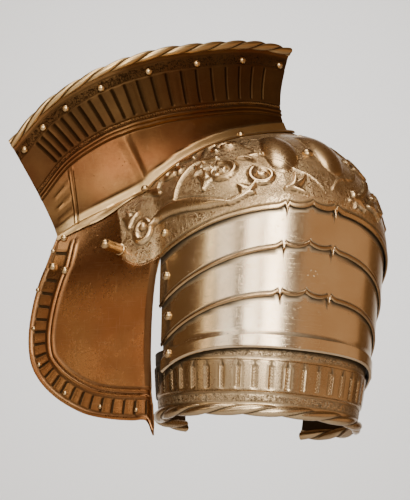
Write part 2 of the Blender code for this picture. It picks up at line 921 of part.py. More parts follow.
centre_mesh = rivet_mesh("centre_rivet", centre_head_radius, centre_head_height, shank_radius,
                         plate_gauge)
place = seat_on(shoulder_plate, shoulder(centre_rivet_along, centre_rivet_down),
                shoulder_normal(centre_rivet_along, centre_rivet_down))
rivet("centre_rivet", centre_mesh, place)
bores["shoulder_plate"].append((place, bore_radius))

place = wing_seat(stud_along, stud_z)
make_stud(place)
bores["shoulder_plate"].append((place, bore_radius))

for angle in (lower_front_angle + lace_hole_angle, lower_rear_angle - lace_hole_angle):
    turn = math.radians(angle)
    outward = Vector((math.cos(turn), math.sin(turn), 0))
    spot = arm_point(angle, lower_radius(lace_hole_z), lace_hole_z)
    bores["lower_lame"].append((seat(spot, outward), lace_hole_radius))

for body in plates + [neck_guard]:
    if bores[body.name]:
        drill(body, bores[body.name])
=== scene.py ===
# %% [markdown]
# # A left pauldron of a field armour
# The real object is a set of beaten steel plates: a shoulder plate with its front wing, a standing
# neck guard, three narrow lames and a broad lower lame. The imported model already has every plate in
# its place. These cells give each plate its fine surface, and they work the plates out from the same
# sizes as the model, so that the new pieces lie exactly where the solids do.

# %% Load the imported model
import json
import math

import bmesh
import bpy
import numpy as np
from mathutils import Matrix, Vector
from mathutils.bvhtree import BVHTree

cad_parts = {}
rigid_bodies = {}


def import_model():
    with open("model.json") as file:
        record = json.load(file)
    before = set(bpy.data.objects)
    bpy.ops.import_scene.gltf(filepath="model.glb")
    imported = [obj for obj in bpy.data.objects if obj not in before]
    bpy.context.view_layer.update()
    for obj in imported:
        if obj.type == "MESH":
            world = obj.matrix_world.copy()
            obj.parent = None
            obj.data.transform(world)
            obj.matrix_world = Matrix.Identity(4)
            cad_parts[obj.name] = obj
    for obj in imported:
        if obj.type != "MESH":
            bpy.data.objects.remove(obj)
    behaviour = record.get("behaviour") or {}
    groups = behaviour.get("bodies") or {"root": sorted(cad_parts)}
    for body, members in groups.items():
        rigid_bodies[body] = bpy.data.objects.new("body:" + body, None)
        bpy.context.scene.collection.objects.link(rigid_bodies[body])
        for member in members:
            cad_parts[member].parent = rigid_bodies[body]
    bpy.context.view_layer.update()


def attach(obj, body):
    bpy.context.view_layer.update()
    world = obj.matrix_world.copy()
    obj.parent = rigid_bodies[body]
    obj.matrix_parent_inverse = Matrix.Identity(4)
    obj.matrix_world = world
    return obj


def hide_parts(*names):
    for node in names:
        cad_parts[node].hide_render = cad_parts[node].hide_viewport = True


for old in list(bpy.data.objects):
    bpy.data.objects.remove(old, do_unlink=True)
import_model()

# %% [markdown]
# ## Sizes
# All sizes are metres, or degrees round the arm. X points out to the side, -Y to the front and Z up.
# A place on the shoulder plate is told by two numbers: its length along the lower edge, counted from
# the corner between wing and arm, and how far up or down the plate it lies.

# %% Sizes of the plates
plate_gauge = 0.0014
lame_gauge = 0.0012
nesting_gap = 0.0009
tucked_gap = 0.0014
touch_gap = 0.0003
shoulder_radius = 0.0970
lame_taper = 0.040
lame_end_angle = 85.0
shoulder_rear_angle = 95.0
rear_flatness = 0.15
shoulder_edge_z = -0.0830
shoulder_edge_drop = 0.0420
lame_edges = (
    # name, edge height, drop of the ends, power of the drop, height of the tucked edge, its drop
    ("lame_1", -0.1130, 0.0480, 1.0, -0.0710, 0.0270),
    ("lame_2", -0.1500, 0.0410, 1.25, -0.1010, 0.0310),
    ("lame_3", -0.1900, 0.0200, 2.0, -0.1380, 0.0230),
)
step_relief = 0.0008
wing_corner_angle = -82.0
wing_far_x = -0.0800
wing_far_y = -0.1700
wing_far_along = -0.1230
wing_blend = 0.0080
wing_waist_far_z = -0.1220
wing_down_unit = 0.1000
stations = (
    # along, foot x, foot y, foot z, rim x, rim y, rim z
    (-0.1220, -0.0700, -0.1660, -0.1040, -0.0900, -0.2080, -0.0400),
    (-0.0985, -0.0600, -0.1560, -0.0960, -0.0800, -0.1950, -0.0220),
    (-0.0700, -0.0520, -0.1370, -0.0820, -0.0620, -0.1740, 0.0090),
    (-0.0350, -0.0440, -0.1150, -0.0690, -0.0430, -0.1480, 0.0310),
    (0.0000, -0.0385, -0.0940, -0.0550, -0.0320, -0.1240, 0.0450),
    (0.0300, -0.0360, -0.0800, -0.0410, -0.0290, -0.1070, 0.0530),
    (0.0600, -0.0350, -0.0660, -0.0280, -0.0270, -0.0900, 0.0600),
    (0.1000, -0.0350, -0.0460, -0.0135, -0.0260, -0.0670, 0.0670),
    (0.1500, -0.0370, -0.0220, -0.0010, -0.0290, -0.0400, 0.0750),
    (0.2000, -0.0420, -0.0020, 0.0070, -0.0340, -0.0140, 0.0820),
    (0.2500, -0.0480, 0.0170, 0.0140, -0.0420, 0.0100, 0.0870),
    (0.3050, -0.0560, 0.0370, 0.0205, -0.0530, 0.0360, 0.0900),
)
print(len(stations), "stations along the shoulder")

# %% Sizes of the wing's border
# One row for each step round the border: a point of the outline, and the point across the border.
border = (
    # outline along, outline z, inner along, inner z
    (-0.0985, -0.0960, -0.0700, -0.0820),
    (-0.1040, -0.1080, -0.0760, -0.1090),
    (-0.1110, -0.1310, -0.0834, -0.1350),
    (-0.1165, -0.1550, -0.0890, -0.1585),
    (-0.1185, -0.1780, -0.0910, -0.1765),
    (-0.1150, -0.1980, -0.0892, -0.1885),
    (-0.1060, -0.2120, -0.0854, -0.1938),
    (-0.0920, -0.2240, -0.0763, -0.2014),
    (-0.0750, -0.2335, -0.0635, -0.2085),
    (-0.0560, -0.2405, -0.0493, -0.2138),
    (-0.0330, -0.2440, -0.0301, -0.2167),
    (-0.0140, -0.2450, -0.0130, -0.2175),
    (-0.0030, -0.2450, -0.0045, -0.2180),
    (0.0090, -0.2570, 0.0005, -0.2185),
)
wing_arm_edge = (
    (0.0000, -0.1192),
    (-0.0025, -0.1600),
    (-0.0020, -0.1950),
    (0.0005, -0.2185),
)

# %% [markdown]
# ## The shapes of the plates as formulas
# A dense mesh needs thousands of points, and a loop over them in Python is slow. NumPy works on whole
# arrays, so each formula here takes arrays of places and gives arrays of points.


# %% Curves through tables
def spline_at(rows, at):
    """Smooth curve through the rows of a table, read at values of its first column."""
    rows = np.asarray(rows, float)
    at = np.asarray(at, float)
    xs = rows[:, 0]
    last = len(xs) - 1
    i = np.clip(np.searchsorted(xs, at) - 1, 0, last - 1)
    before, after = np.maximum(i - 1, 0), np.minimum(i + 2, last)
    wide = xs[i + 1] - xs[i]
    t = ((at - xs[i]) / wide)[..., None]
    start, end = rows[i, 1:], rows[i + 1, 1:]
    slope_in = (end - rows[before, 1:]) * (wide / (xs[i + 1] - xs[before]))[..., None]
    slope_out = (rows[after, 1:] - start) * (wide / (xs[after] - xs[i]))[..., None]
    return ((2 * t ** 3 - 3 * t ** 2 + 1) * start + (t ** 3 - 2 * t ** 2 + t) * slope_in
            + (3 * t ** 2 - 2 * t ** 3) * end + (t ** 3 - t ** 2) * slope_out)


def with_shares(points):
    """The points with their share of the way along in front, as rows for spline_at."""
    points = np.asarray(points, float)
    steps = np.linalg.norm(np.diff(points[:, :2], axis=0), axis=1)
    shares = np.concatenate([[0.0], np.cumsum(steps)]) / steps.sum()
    return np.column_stack([shares, points])


def smooth(value):
    value = np.clip(value, 0.0, 1.0)
    return value * value * (3 - 2 * value)


def plateau(value, low, high, soft):
    """1 between low and high, 0 outside, with soft sides."""
    return smooth((value - low) / soft + 0.5) * smooth((high - value) / soft + 0.5)


def round_bead(value, middle, half):
    """Height, up to 1, of a round bead across its width."""
    return np.sqrt(np.maximum(0.0, 1 - ((value - middle) / half) ** 2))


def thin_line(value, middle, width):
    """1 on an incised line and almost 0 beside it."""
    return np.exp(-((value - middle) / width) ** 2)


def unit(vectors):
    return vectors / np.linalg.norm(vectors, axis=-1, keepdims=True)


# %% The shoulder plate's surface
def angle_at(along):
    return wing_corner_angle + np.degrees(along / shoulder_radius)


def along_at(angle):
    return np.radians(angle - wing_corner_angle) * shoulder_radius


def plan_at(along):
    """Plan of the lower edge: the arm's circle, and the wing's line in front of it."""
    corner = math.radians(wing_corner_angle)
    start = np.array([math.cos(corner), math.sin(corner)]) * shoulder_radius
    far = np.array([wing_far_x, wing_far_y])
    turn = np.radians(angle_at(along))
    arc = np.stack([np.cos(turn), np.sin(turn)], axis=-1) * shoulder_radius
    line = start + (far - start) * (along / wing_far_along)[..., None]
    share = smooth((wing_blend - along) / (2 * wing_blend))[..., None]
    return arc + (line - arc) * share


def edge_height(along):
    turn = np.radians(np.minimum(angle_at(along), 180.0))
    arm = shoulder_edge_z - shoulder_edge_drop * (1 - np.cos(turn))
    corner = shoulder_edge_z - shoulder_edge_drop * (1 - math.cos(math.radians(wing_corner_angle)))
    wing = corner + (wing_waist_far_z - corner) * (along / wing_far_along)
    return np.where(along >= 0, arm, wing)


def section_flatness(along):
    front = 1.0 + smooth(along / stations[2][0])
    rear = 1.0 + rear_flatness * smooth(2 * along / stations[-1][0] - 1)
    return np.where(along < 0, front, rear)


def shoulder_base(along, down):
    """Outer face, from -1 at the neck guard through 0 at the lower edge and on over the wing."""
    along, down = np.broadcast_arrays(np.asarray(along, float), np.asarray(down, float))
    plan = plan_at(along)
    edge = np.concatenate([plan, edge_height(along)[..., None]], axis=-1)
    foot = spline_at(stations, along)[..., :3]
    turn = np.clip(-down, 0.0, 1.0) * math.pi / 2
    flat = section_flatness(along)
    inward = 1 - np.clip(np.cos(turn), 0, 1) ** flat
    upward = np.sin(turn) ** flat
    share = np.stack([inward, inward, upward], axis=-1)
    point = edge + (foot - edge) * share
    point[..., 2] -= wing_down_unit * np.maximum(down, 0.0)
    return point


def shoulder_normal(along, down):
    step, share = 0.0005, 0.01
    low, high = np.maximum(down - share, -1.0), down + share
    across = shoulder_base(along + step, down) - shoulder_base(along - step, down)
    fall = shoulder_base(along, high) - shoulder_base(along, low)
    return unit(np.cross(fall, across))


def wing_down(along, z):
    """Down coordinate of a height on the wing's face."""
    edge = edge_height(along)
    foot = spline_at(stations, along)[..., 2]
    share = np.clip((z - edge) / (foot - edge), 0.0, 1.0)
    up = np.arcsin(share ** (1 / section_flatness(along))) / (math.pi / 2)
    return np.where(z <= edge, (edge - z) / wing_down_unit, -up)


# %% The cusped middle of an edge
cusp_centre_angle = -3.5
cusp_half_width = 0.0200
cusp_rise = 0.0040
cusp_power = 0.6
cusp_fade = 0.4
cusp_from = -0.5
nib_length = 0.0045
nib_half_width = 0.0016
nib_power = 1.3


def cusp_parts(angle, radius):
    """Rise of the scallops and drop of the nibs in a plate's lower edge."""
    w = np.abs(np.radians(angle - cusp_centre_angle)) * radius
    scallop = 1 - np.abs(np.sin(math.pi * np.minimum(w / cusp_half_width, 1.0))) ** cusp_power
    beyond = (w - cusp_half_width) / (cusp_fade * cusp_half_width)
    fade = np.maximum(0.0, 1 - beyond) ** 2
    rise = cusp_rise * np.where(w < cusp_half_width, scallop, fade)
    nib = np.maximum(0.0, 1 - np.abs(w - cusp_half_width) / nib_half_width)
    return rise, (cusp_rise + nib_length) * nib ** nib_power


def cusp(angle, radius):
    rise, nib = cusp_parts(angle, radius)
    return rise - nib


# %% [markdown]
# ## From grids of points to closed plates
# Every plate is a sheet. Its outer face carries the detail and its inner face is plain, so the inner
# face takes only every fourth point, and a strip of faces round the edge joins the two.


# %% A mesh with its own attributes
def make_mesh(name, points, faces, attributes=None, sharp_angle=40):
    mesh = bpy.data.meshes.new(name)
    mesh.from_pydata([tuple(p) for p in points], [], faces)
    mesh.validate()
    for key, values in (attributes or {}).items():
        layer = mesh.attributes.new(key, "FLOAT", "POINT")
        layer.data.foreach_set("value", np.asarray(values, np.float32))
    mesh.shade_smooth()
    mesh.set_sharp_from_angle(angle=math.radians(sharp_angle))
    return mesh


def put(name, mesh):
    piece = bpy.data.objects.new(name, mesh)
    bpy.context.scene.collection.objects.link(piece)
    return piece


def grid_ids(points):
    """Numbers of the points of a grid, row by row."""
    return np.arange(points[..., 0].size).reshape(points.shape[:2])


def round_arm(radius, angle, z):
    """Points at a distance and an angle round the axis of the arm."""
    return np.stack([radius * np.cos(angle), radius * np.sin(angle), z], axis=-1)


def from_bmesh(name, bm):
    mesh = bpy.data.meshes.new(name)
    bm.to_mesh(mesh)
    bm.free()
    return mesh


def make_plain(piece):
    """Replace a piece's mesh by the result of its modifiers."""
    bpy.context.view_layer.update()
    made = bpy.data.meshes.new_from_object(piece.evaluated_get(bpy.context.evaluated_depsgraph_get()))
    piece.modifiers.clear()
    piece.data = made


def cut_away(piece, bm):
    """Cut the shape in a BMesh out of a piece."""
    cutter = put("cutter", from_bmesh("cutter", bm))
    cut = piece.modifiers.new("cut", "BOOLEAN")
    cut.solver = "EXACT"
    cut.object = cutter
    make_plain(piece)
    bpy.data.objects.remove(cutter, do_unlink=True)


def quads(ids, turned=False):
    """Faces over a grid of point numbers."""
    a, b, c, d = ids[:-1, :-1], ids[1:, :-1], ids[1:, 1:], ids[:-1, 1:]
    order = (a, d, c, b) if turned else (a, b, c, d)
    return np.stack(order, axis=-1).reshape(-1, 4).tolist()


def sheet_mesh(name, points, inward, blocks, loop, gauge, attributes, every=4):
    """Closed plate: detailed outer blocks, a plain inner face, and a rim along the loop."""
    count = len(points)
    faces = []
    inner_id = {}
    inner_points = []
    for block in blocks:
        faces += quads(block)
        coarse = block[::every, ::every]
        for i in coarse.ravel():
            if i not in inner_id:
                inner_id[i] = count + len(inner_points)
                inner_points.append(inward[i] * gauge)
        inside = np.vectorize(inner_id.get)(coarse)
        faces += quads(inside, turned=True)
    for k in range(0, len(loop), every):
        run = [int(loop[(k + i) % len(loop)]) for i in range(every + 1)]
        faces.append(run + [inner_id[run[-1]], inner_id[run[0]]])
    keys = list(inner_id)
    inner = np.array([points[i] for i in keys]) + np.array(inner_points)
    filled = {}
    for key, values in attributes.items():
        filled[key] = np.concatenate([values, np.zeros(len(keys))])
    filled["inside"] = np.concatenate([np.zeros(count), np.ones(len(keys))])
    return make_mesh(name, np.concatenate([points, inner]), faces, filled)


def grid_normals(points, ids):
    """Normals of one block of a grid, pointing to the side that quads faces."""
    p = points[ids]
    down = np.gradient(p, axis=0)
    across = np.gradient(p, axis=1)
    return unit(np.cross(down, across))


def border_loop(ids):
    """Numbers round the edge of one block, in the order that the rim needs."""
    return np.concatenate([ids[0, :-1], ids[:-1, -1], ids[-1, :0:-1], ids[:0:-1, 0]])


def with_marks(first, last, spacing, marks):
    """Regular values with extra ones at the marks, in a number that the inner face can share."""
    regular = np.arange(first, last, spacing)
    values = [first, last]
    values += [m for m in marks if first < m < last]
    fixed = np.array(sorted(set(round(v, 6) for v in values)))
    for r in regular:
        if np.min(np.abs(fixed - r)) > 0.45 * spacing:
            values.append(r)
    values = sorted(set(round(v, 6) for v in values))
    while (len(values) - 1) % 4:
        gaps = np.diff(values)
        i = int(np.argmax(gaps))
        values.insert(i + 1, values[i] + gaps[i] / 2)
    return np.array(values)


# %% [markdown]
# ## Relief on the dome
# The raised work on a plate like this is beaten out from behind and then chased from the front. Here
# each raised form is a stroke: a path on the plate with a width at each point. The height of a point
# of the mesh comes from how near it lies to a path. The forms are plain leaf scrolls, two ovoid bosses
# beside the middle rivet, a volute with a ball, and a roll that runs in from it.

# %% Bosses and strokes
centre_rivet_along = 0.1460
centre_rivet_down = -0.425
relief_power = 0.75
dome_length = 0.1
boss_height = 0.0055
boss_offset = 0.0230
boss_lean = 0.040
boss_up = 0.47
boss_half_width = 0.0150
boss_half_length = 0.22
strokes = []


def stroke(points, widths, height, count=70):
    """Add a raised stroke through places on the dome, each (along, up)."""
    places = spline_at(with_shares(np.asarray(points) * (1, dome_length)), np.linspace(0, 1, count))
    path = shoulder_base(places[:, 0], -places[:, 1] / dome_length)
    shares = np.linspace(0, 1, len(widths))
    width = np.interp(np.linspace(0, 1, count), shares, widths)
    strokes.append((path, width, height))


def around(centre, offsets):
    """Places at offsets in metres from a centre, to the rear and up the dome."""
    along, up = centre
    step, share = 0.004, 0.02
    rear = shoulder_base(along + step, -up) - shoulder_base(along - step, -up)
    rise = shoulder_base(along, -up - share) - shoulder_base(along, -up + share)
    rear_scale = 2 * step / np.linalg.norm(rear)
    up_scale = 2 * share / np.linalg.norm(rise)
    return [(along + u * rear_scale, up + v * up_scale) for u, v in offsets]


def scroll(centre, radius, start, turns, width, height):
    """A stem that winds in to its centre, with a bud at the end."""
    offsets = []
    for share in np.linspace(0, 1, 26):
        turn = math.radians(start) + 2 * math.pi * turns * share
        reach = radius * (1 - 0.80 * share)
        offsets.append((reach * math.cos(turn), reach * math.sin(turn)))
    stroke(around(centre, offsets), (1.3 * width, 1.2 * width, 0.8 * width), 1.1 * height)
    bud = around(centre, [(-0.0006, 0), (0, 0), (0.0006, 0)])
    stroke(bud, (width * 1.3, width * 1.5, width * 1.3), height * 1.1, 8)


def leaf(centre, heading, length, width, height, bend=0.25):
    """A leaf with three lobes: one long stroke and two short ones beside it."""
    turn = math.radians(heading)
    length, width = 1.35 * length, 1.5 * width
    ahead = np.array([math.cos(turn), math.sin(turn)])
    side = np.array([-ahead[1], ahead[0]])

    def blade(start, reach, spread, size):
        spine = [start + ahead * reach * s + side * spread * s * s for s in (0, 0.35, 0.7, 1.0)]
        stroke(around(centre, spine), (0.4 * size, size, 0.75 * size, 0.12 * size), height, 40)

    root = np.zeros(2)
    blade(root, length, bend * length, width)
    blade(root + ahead * 0.15 * length, 0.55 * length, 0.5 * length, width * 0.6)
    blade(root + ahead * 0.15 * length, 0.55 * length, -0.5 * length, width * 0.6)


def boss_heights(along, up):
    height = np.zeros_like(along)
    for side in (-1, 1):
        x = along - centre_rivet_along - side * boss_offset - boss_lean * (up - boss_up)
        inside = 1 - (x / boss_half_width) ** 2 - ((up - boss_up) / boss_half_length) ** 2
        height = np.maximum(height, boss_height * np.maximum(0.0, inside) ** relief_power)
    return height


def stroke_heights(points):
    """Height of the strokes at each point, and how near the point is to a stroke's foot."""
    height = np.zeros(len(points))
    foot = np.zeros(len(points))
    for path, width, top in strokes:
        reach = width.max() * 1.6
        low, high = path.min(axis=0) - reach, path.max(axis=0) + reach
        near = np.flatnonzero(np.all((points > low) & (points < high), axis=1))
        if not len(near):
            continue
        gap = np.linalg.norm(points[near, None, :] - path[None, :, :], axis=2)
        ratio = (gap / width).min(axis=1)
        rise = top * np.maximum(0.0, 1 - ratio ** 2) ** 0.6
        height[near] = np.maximum(height[near], rise)
        foot[near] = np.maximum(foot[near], np.exp(-((ratio - 1.12) / 0.22) ** 2))
    return height, foot * np.exp(-height / 0.0006)


# %% The dome's raised forms
volute = (-0.0145, 0.30)
ring = [(0.0066 * math.cos(t), 0.0088 * math.sin(t)) for t in np.linspace(0.3, 6.3, 24)]
stroke(around(volute, ring), (0.0030, 0.0034, 0.0030), 0.0030)
ball = around(volute, [(-0.0004, 0.0030), (0, 0.0034), (0.0004, 0.0030)])
stroke(ball, (0.0030, 0.0032, 0.0030), 0.0032, 8)

stems = (
    # places (along, up), widths, height
    (((-0.0075, 0.30), (0.000, 0.345), (0.012, 0.335), (0.030, 0.27), (0.050, 0.18), (0.068, 0.11)),
     (0.0025, 0.0052, 0.0060, 0.0056, 0.0046, 0.0020), 0.0042),
    (((0.020, 0.30), (0.026, 0.46), (0.040, 0.58), (0.058, 0.62), (0.072, 0.56)),
     (0.0016, 0.0026, 0.0030, 0.0026, 0.0022), 0.0026),
    (((0.058, 0.62), (0.070, 0.74), (0.080, 0.80), (0.090, 0.80)),
     (0.0024, 0.0024, 0.0020, 0.0016), 0.0024),
    (((0.070, 0.11), (0.082, 0.14), (0.090, 0.20)),
     (0.0030, 0.0028, 0.0022), 0.0030),
    (((0.104, 0.78), (0.101, 0.60), (0.106, 0.42), (0.120, 0.30), (0.137, 0.20), (0.144, 0.12)),
     (0.0008, 0.0010, 0.0010, 0.0010, 0.0010, 0.0006), 0.0013),
    (((0.150, 0.13), (0.160, 0.22), (0.178, 0.26), (0.192, 0.36), (0.194, 0.48)),
     (0.0006, 0.0010, 0.0010, 0.0010, 0.0006), 0.0013),
    (((0.166, 0.10), (0.180, 0.15), (0.196, 0.24), (0.204, 0.30)),
     (0.0014, 0.0026, 0.0028, 0.0022), 0.0028),
)
scrolls = (
    # centre (along, up), radius, start, turns, width, height
    ((0.068, 0.40), 0.0130, 80, -1.35, 0.0024, 0.0026),
    ((0.030, 0.72), 0.0095, -60, 1.30, 0.0021, 0.0024),
    ((0.092, 0.70), 0.0105, 200, -1.35, 0.0022, 0.0024),
    ((0.098, 0.26), 0.0105, 120, 1.35, 0.0022, 0.0025),
    ((0.212, 0.40), 0.0125, 150, -1.35, 0.0024, 0.0026),
    ((0.196, 0.66), 0.0095, 250, 1.30, 0.0022, 0.0024),
    ((0.246, 0.42), 0.0110, 100, -1.30, 0.0024, 0.0024),
    ((0.274, 0.42), 0.0110, 100, -1.30, 0.0024, 0.0024),
)
leaves = (
    # centre (along, up), heading, length, width, height
    ((-0.0265, 0.42), 75, 0.013, 0.0030, 0.0020),
    ((0.046, 0.48), 35, 0.014, 0.0028, 0.0024),
    ((0.050, 0.30), 60, 0.016, 0.0030, 0.0026),
    ((0.086, 0.47), -20, 0.014, 0.0028, 0.0024),
    ((0.060, 0.76), 95, 0.013, 0.0028, 0.0022),
    ((0.008, 0.60), 100, 0.016, 0.0028, 0.0022),
    ((0.112, 0.12), 20, 0.016, 0.0028, 0.0024),
    ((0.078, 0.22), -60, 0.012, 0.0026, 0.0024),
    ((0.044, 0.86), 20, 0.012, 0.0024, 0.0020),
    ((0.172, 0.16), -60, 0.012, 0.0028, 0.0028),
    ((0.190, 0.12), 20, 0.014, 0.0028, 0.0028),
    ((0.216, 0.16), 60, 0.016, 0.0030, 0.0026),
    ((0.228, 0.52), 80, 0.016, 0.0030, 0.0024),
    ((0.246, 0.70), 90, 0.014, 0.0028, 0.0022),
    ((0.240, 0.16), 60, 0.014, 0.0028, 0.0022),
    ((0.274, 0.70), 90, 0.014, 0.0028, 0.0022),
    ((0.268, 0.16), 60, 0.014, 0.0028, 0.0022),
)
for form, rows in ((stroke, stems), (scroll, scrolls), (leaf, leaves)):
    for row in rows:
        form(*row)
print(len(strokes), "raised strokes on the dome")

# %% [markdown]
# ## The shoulder plate and its wing
# The sheet is built as three grids that share their edge points: the arm side, the wing's smooth
# field, and the border round the wing. The border's grid follows the outline, so that its slots and
# beads run square to it and stay crisp.

# %% Grids of the shoulder plate
arm_rows = 120
wing_rows = 56
ground_left = -0.0350
ground_arc_width = 0.0345
ground_arc_z = -0.1165
ground_arc_drop = 0.0065
slot_pitch = 0.0109
slot_half_width = 0.0009
slot_first, slot_last = 0.0373, 0.2500
slot_depth = 0.0009
edge_strip = 0.0030


def arm_lanes():
    rear = along_at(shoulder_rear_angle)
    middle = along_at(cusp_centre_angle)
    fine = 1.6 * cusp_half_width
    behind = 0.206
    runs = ((0.0, middle - fine, 92), (middle - fine, middle + fine, 132),
            (middle + fine, behind, 32), (behind, rear, 56))
    lanes = [np.linspace(a, b, n + 1)[:-1] for a, b, n in runs]
    return np.concatenate(lanes + [[rear]])


def arm_block():
    """Places, points and normals of the arm side, with the cusps in its lower edge."""
    along = arm_lanes()[None, :]
    down = -1 + np.arange(arm_rows + 1)[:, None] / arm_rows
    along, down = np.broadcast_arrays(along, down)
    point = shoulder_base(along, down)
    share = np.maximum(0.0, 1 - down / cusp_from)
    rise, nib = cusp_parts(angle_at(along), shoulder_radius)
    point[..., 2] += share ** 3 * rise - share ** 12 * nib
    return along, down, point, shoulder_normal(along, down)


def ground_arc(share):
    """Height of the round lower end of the etched ground, across its width."""
    return ground_arc_z - ground_arc_drop * np.sin(math.pi * share)


def dress_shoulder(along, down, point, normal):
    """Raise the relief on a block and work out the painted shade at its feet and its punched ground."""
    shape = along.shape
    flat = shoulder_base(along, down).reshape(-1, 3)
    height, foot = stroke_heights(flat)
    height, foot = height.reshape(shape), foot.reshape(shape)
    boss = np.where(along > 0, boss_heights(along, -down), 0.0)
    height = np.maximum(height + 0.5 * boss, boss)
    drop = -down * dome_length * (down < 0)
    strip = smooth((drop - 0.9 * edge_strip) / 0.0008)
    strip = np.where(along > 0, strip, 1.0) * smooth((0.90 + down) / 0.03)
    ground = smooth((along - ground_left) / 0.0012)
    arc = ground_arc(np.clip((along - ground_left) / ground_arc_width, 0, 1))
    ground *= np.where(along < 0.0005, smooth((flat[:, 2].reshape(shape) - arc) / 0.0010), 1.0)
    wing = 1 - ground
    raised = smooth(height / 0.0010)
    groove = 0.0006 * plateau(drop, edge_strip, edge_strip + 0.0012, 0.0005) * (along > 0)
    top = plateau(drop, 0.0006, edge_strip - 0.0002, 0.0010) * 0.0004 * (along > 0)
    lift = height * strip * ground - groove + top
    # Painted shade at the feet of the raised forms and in the groove above the edge strip.
    cavity = np.clip(foot * ground * 0.9 + groove / 0.0006 * 0.8, 0, 1)
    return point + normal * lift[..., None], cavity, 0.5 * ground * strip * (1 - raised), wing


along, down, point, arm_normal = arm_block()
arm_points, arm_cavity, arm_ground, arm_wing = dress_shoulder(along, down, point, arm_normal)
print("arm side:", arm_points.shape)

# %% The wing's border
border_rows = with_shares(np.array(border))
outline = np.array(border)[:, :2]
outline_length = np.linalg.norm(np.diff(outline, axis=0), axis=1).sum()
slot_middles = np.append(0.0150, np.arange(slot_first, slot_last, slot_pitch))
marks = []
for middle in slot_middles:
    marks += [middle - slot_half_width - 0.0004, middle - slot_half_width, middle,
              middle + slot_half_width, middle + slot_half_width + 0.0004]
border_lanes = with_marks(0.0, outline_length, 0.00105, marks)
border_depths = np.array([0, 0.3, 0.9, 1.8, 2.8, 3.4, 4.2, 5.2, 5.6, 6.2, 8.0, 9.5, 11.0, 14.6, 15.4,
                          15.8, 16.6, 17.4, 18.2, 19.4, 20.6, 21.2, 21.8, 23.0, 24.2, 24.9, 26.0,
                          27.0, 28.0])
border_width = 28.0
border_beads = (
    # middle, half width, height, all in millimetres
    (19.2, 2.0, 0.8),
    (23.4, 2.1, 0.9),
)
border_lines = (
    # from, to, softness, all in millimetres
    (3.2, 5.0, 0.6),
    (16.0, 17.4, 0.5),
    (21.0, 21.6, 0.5),
    (25.6, 26.8, 0.6),
)


# %% Relief of the wing's border
def border_heights(depth, length):
    """Turned rim, slotted band and two beads. The depth is in millimetres."""
    on = smooth((length - 0.006) / 0.004)
    rim = 0.9 * plateau(depth, -1.0, 3.0, 1.2) - 0.35 * plateau(depth, 3.4, 4.6, 0.8)
    beads = sum(high * round_bead(depth, middle, half) for middle, half, high in border_beads)
    nearest = np.abs(length[..., None] - slot_middles).min(axis=-1)
    slot = smooth((slot_half_width + 0.0004 - nearest) / 0.0004) * plateau(depth, 4.8, 15.8, 0.5)
    frame_line = thin_line(nearest, 0.0022, 0.0004) * plateau(depth, 5.2, 15.4, 0.5)
    height = (rim + beads * on - 1000 * slot_depth * slot - 0.15 * frame_line) / 1000
    line = sum(plateau(depth, *row) for row in border_lines)
    # Painted shade in the slots and along the incised lines.
    return height, np.clip(slot + 0.3 * frame_line + 0.55 * line * on, 0, 1)


share = border_lanes / outline_length
crossing = spline_at(border_rows, share)
outer, inner = crossing[:, :2], crossing[:, 2:]
domain = outer + (inner - outer) * (border_depths / border_width)[:, None, None]
band_along, band_z = domain[..., 0], domain[..., 1]
band_down = wing_down(band_along, band_z)
band_point = shoulder_base(band_along, band_down)
band_normal = shoulder_normal(band_along, band_down)
lift, band_cavity = border_heights(*np.broadcast_arrays(border_depths[:, None], border_lanes))
band_points = band_point + band_normal * lift[..., None]
print("border:", band_points.shape, "slots:", len(slot_middles))

# %% The wing's smooth field
field_rows = arm_rows + wing_rows
field_lanes = len(border_lanes) - 1 - field_rows
v = np.linspace(0, 1, field_rows + 1)
u = np.linspace(0, 1, field_lanes + 1)
left = inner[:field_rows + 1]
bottom = inner[field_rows:]
corner_down = -1 + np.arange(arm_rows + 1) / arm_rows
edge0 = float(edge_height(np.array(0.0)))
foot0 = float(spline_at(stations, np.array(0.0))[2])
right_upper = np.stack([0 * corner_down, edge0 + (foot0 - edge0) * np.sin(-corner_down * math.pi / 2)],
                       axis=1)
right_lower = spline_at(with_shares(wing_arm_edge), np.linspace(0, 1, wing_rows + 1))[1:]
right = np.concatenate([right_upper, right_lower])
top_along = inner[0, 0] * (1 - u)
top = np.stack([top_along, spline_at(stations, top_along)[:, 2]], axis=1)
U, V = u[None, :, None], v[:, None, None]
corners = ((1 - U) * (1 - V) * top[0] + U * (1 - V) * top[-1] + (1 - U) * V * bottom[0]
           + U * V * bottom[-1])
field = (1 - U) * left[:, None] + U * right[:, None] + (1 - V) * top[None] + V * bottom[None] - corners
field_along, field_z = field[..., 0], field[..., 1]
field_down = wing_down(field_along, field_z)
point = shoulder_base(field_along, field_down)
field_normal = shoulder_normal(field_along, field_down)
field_points, field_cavity, field_ground, field_wing = dress_shoulder(
    field_along, field_down, point, field_normal)
print("field:", field_points.shape)

# %% [markdown]
# ## The wing's swell and its hem
# The dome slopes outward down to its lower edge. The wing goes on with that slope and loses it again,
# so no crease shows between them. Beside the arm its edge is turned up a little, like a hem.

# %% The wing's swell and its hem
wing_slope = 0.26
swell_length = 0.026
hem_width = 0.0065
hem_turn = 0.06
hem_top_z = -0.1235
hem_shade = 0.62


def wing_swell(along, z):
    below = np.maximum(0.0, edge_height(along) - z)
    return wing_slope * below * np.exp(-below / swell_length)


def inside_hem(along, z):
    """How far a place lies past the inner side of the hem."""
    edge = np.array(wing_arm_edge + (border[-1][:2],))
    return hem_width - (np.interp(-z, -edge[:, 1], edge[:, 0]) - along)


def wing_lift(along, z):
    hem = np.maximum(0.0, inside_hem(along, z)) * hem_turn * smooth((hem_top_z - z) / 0.010)
    return (wing_swell(along, z) + hem)[..., None]


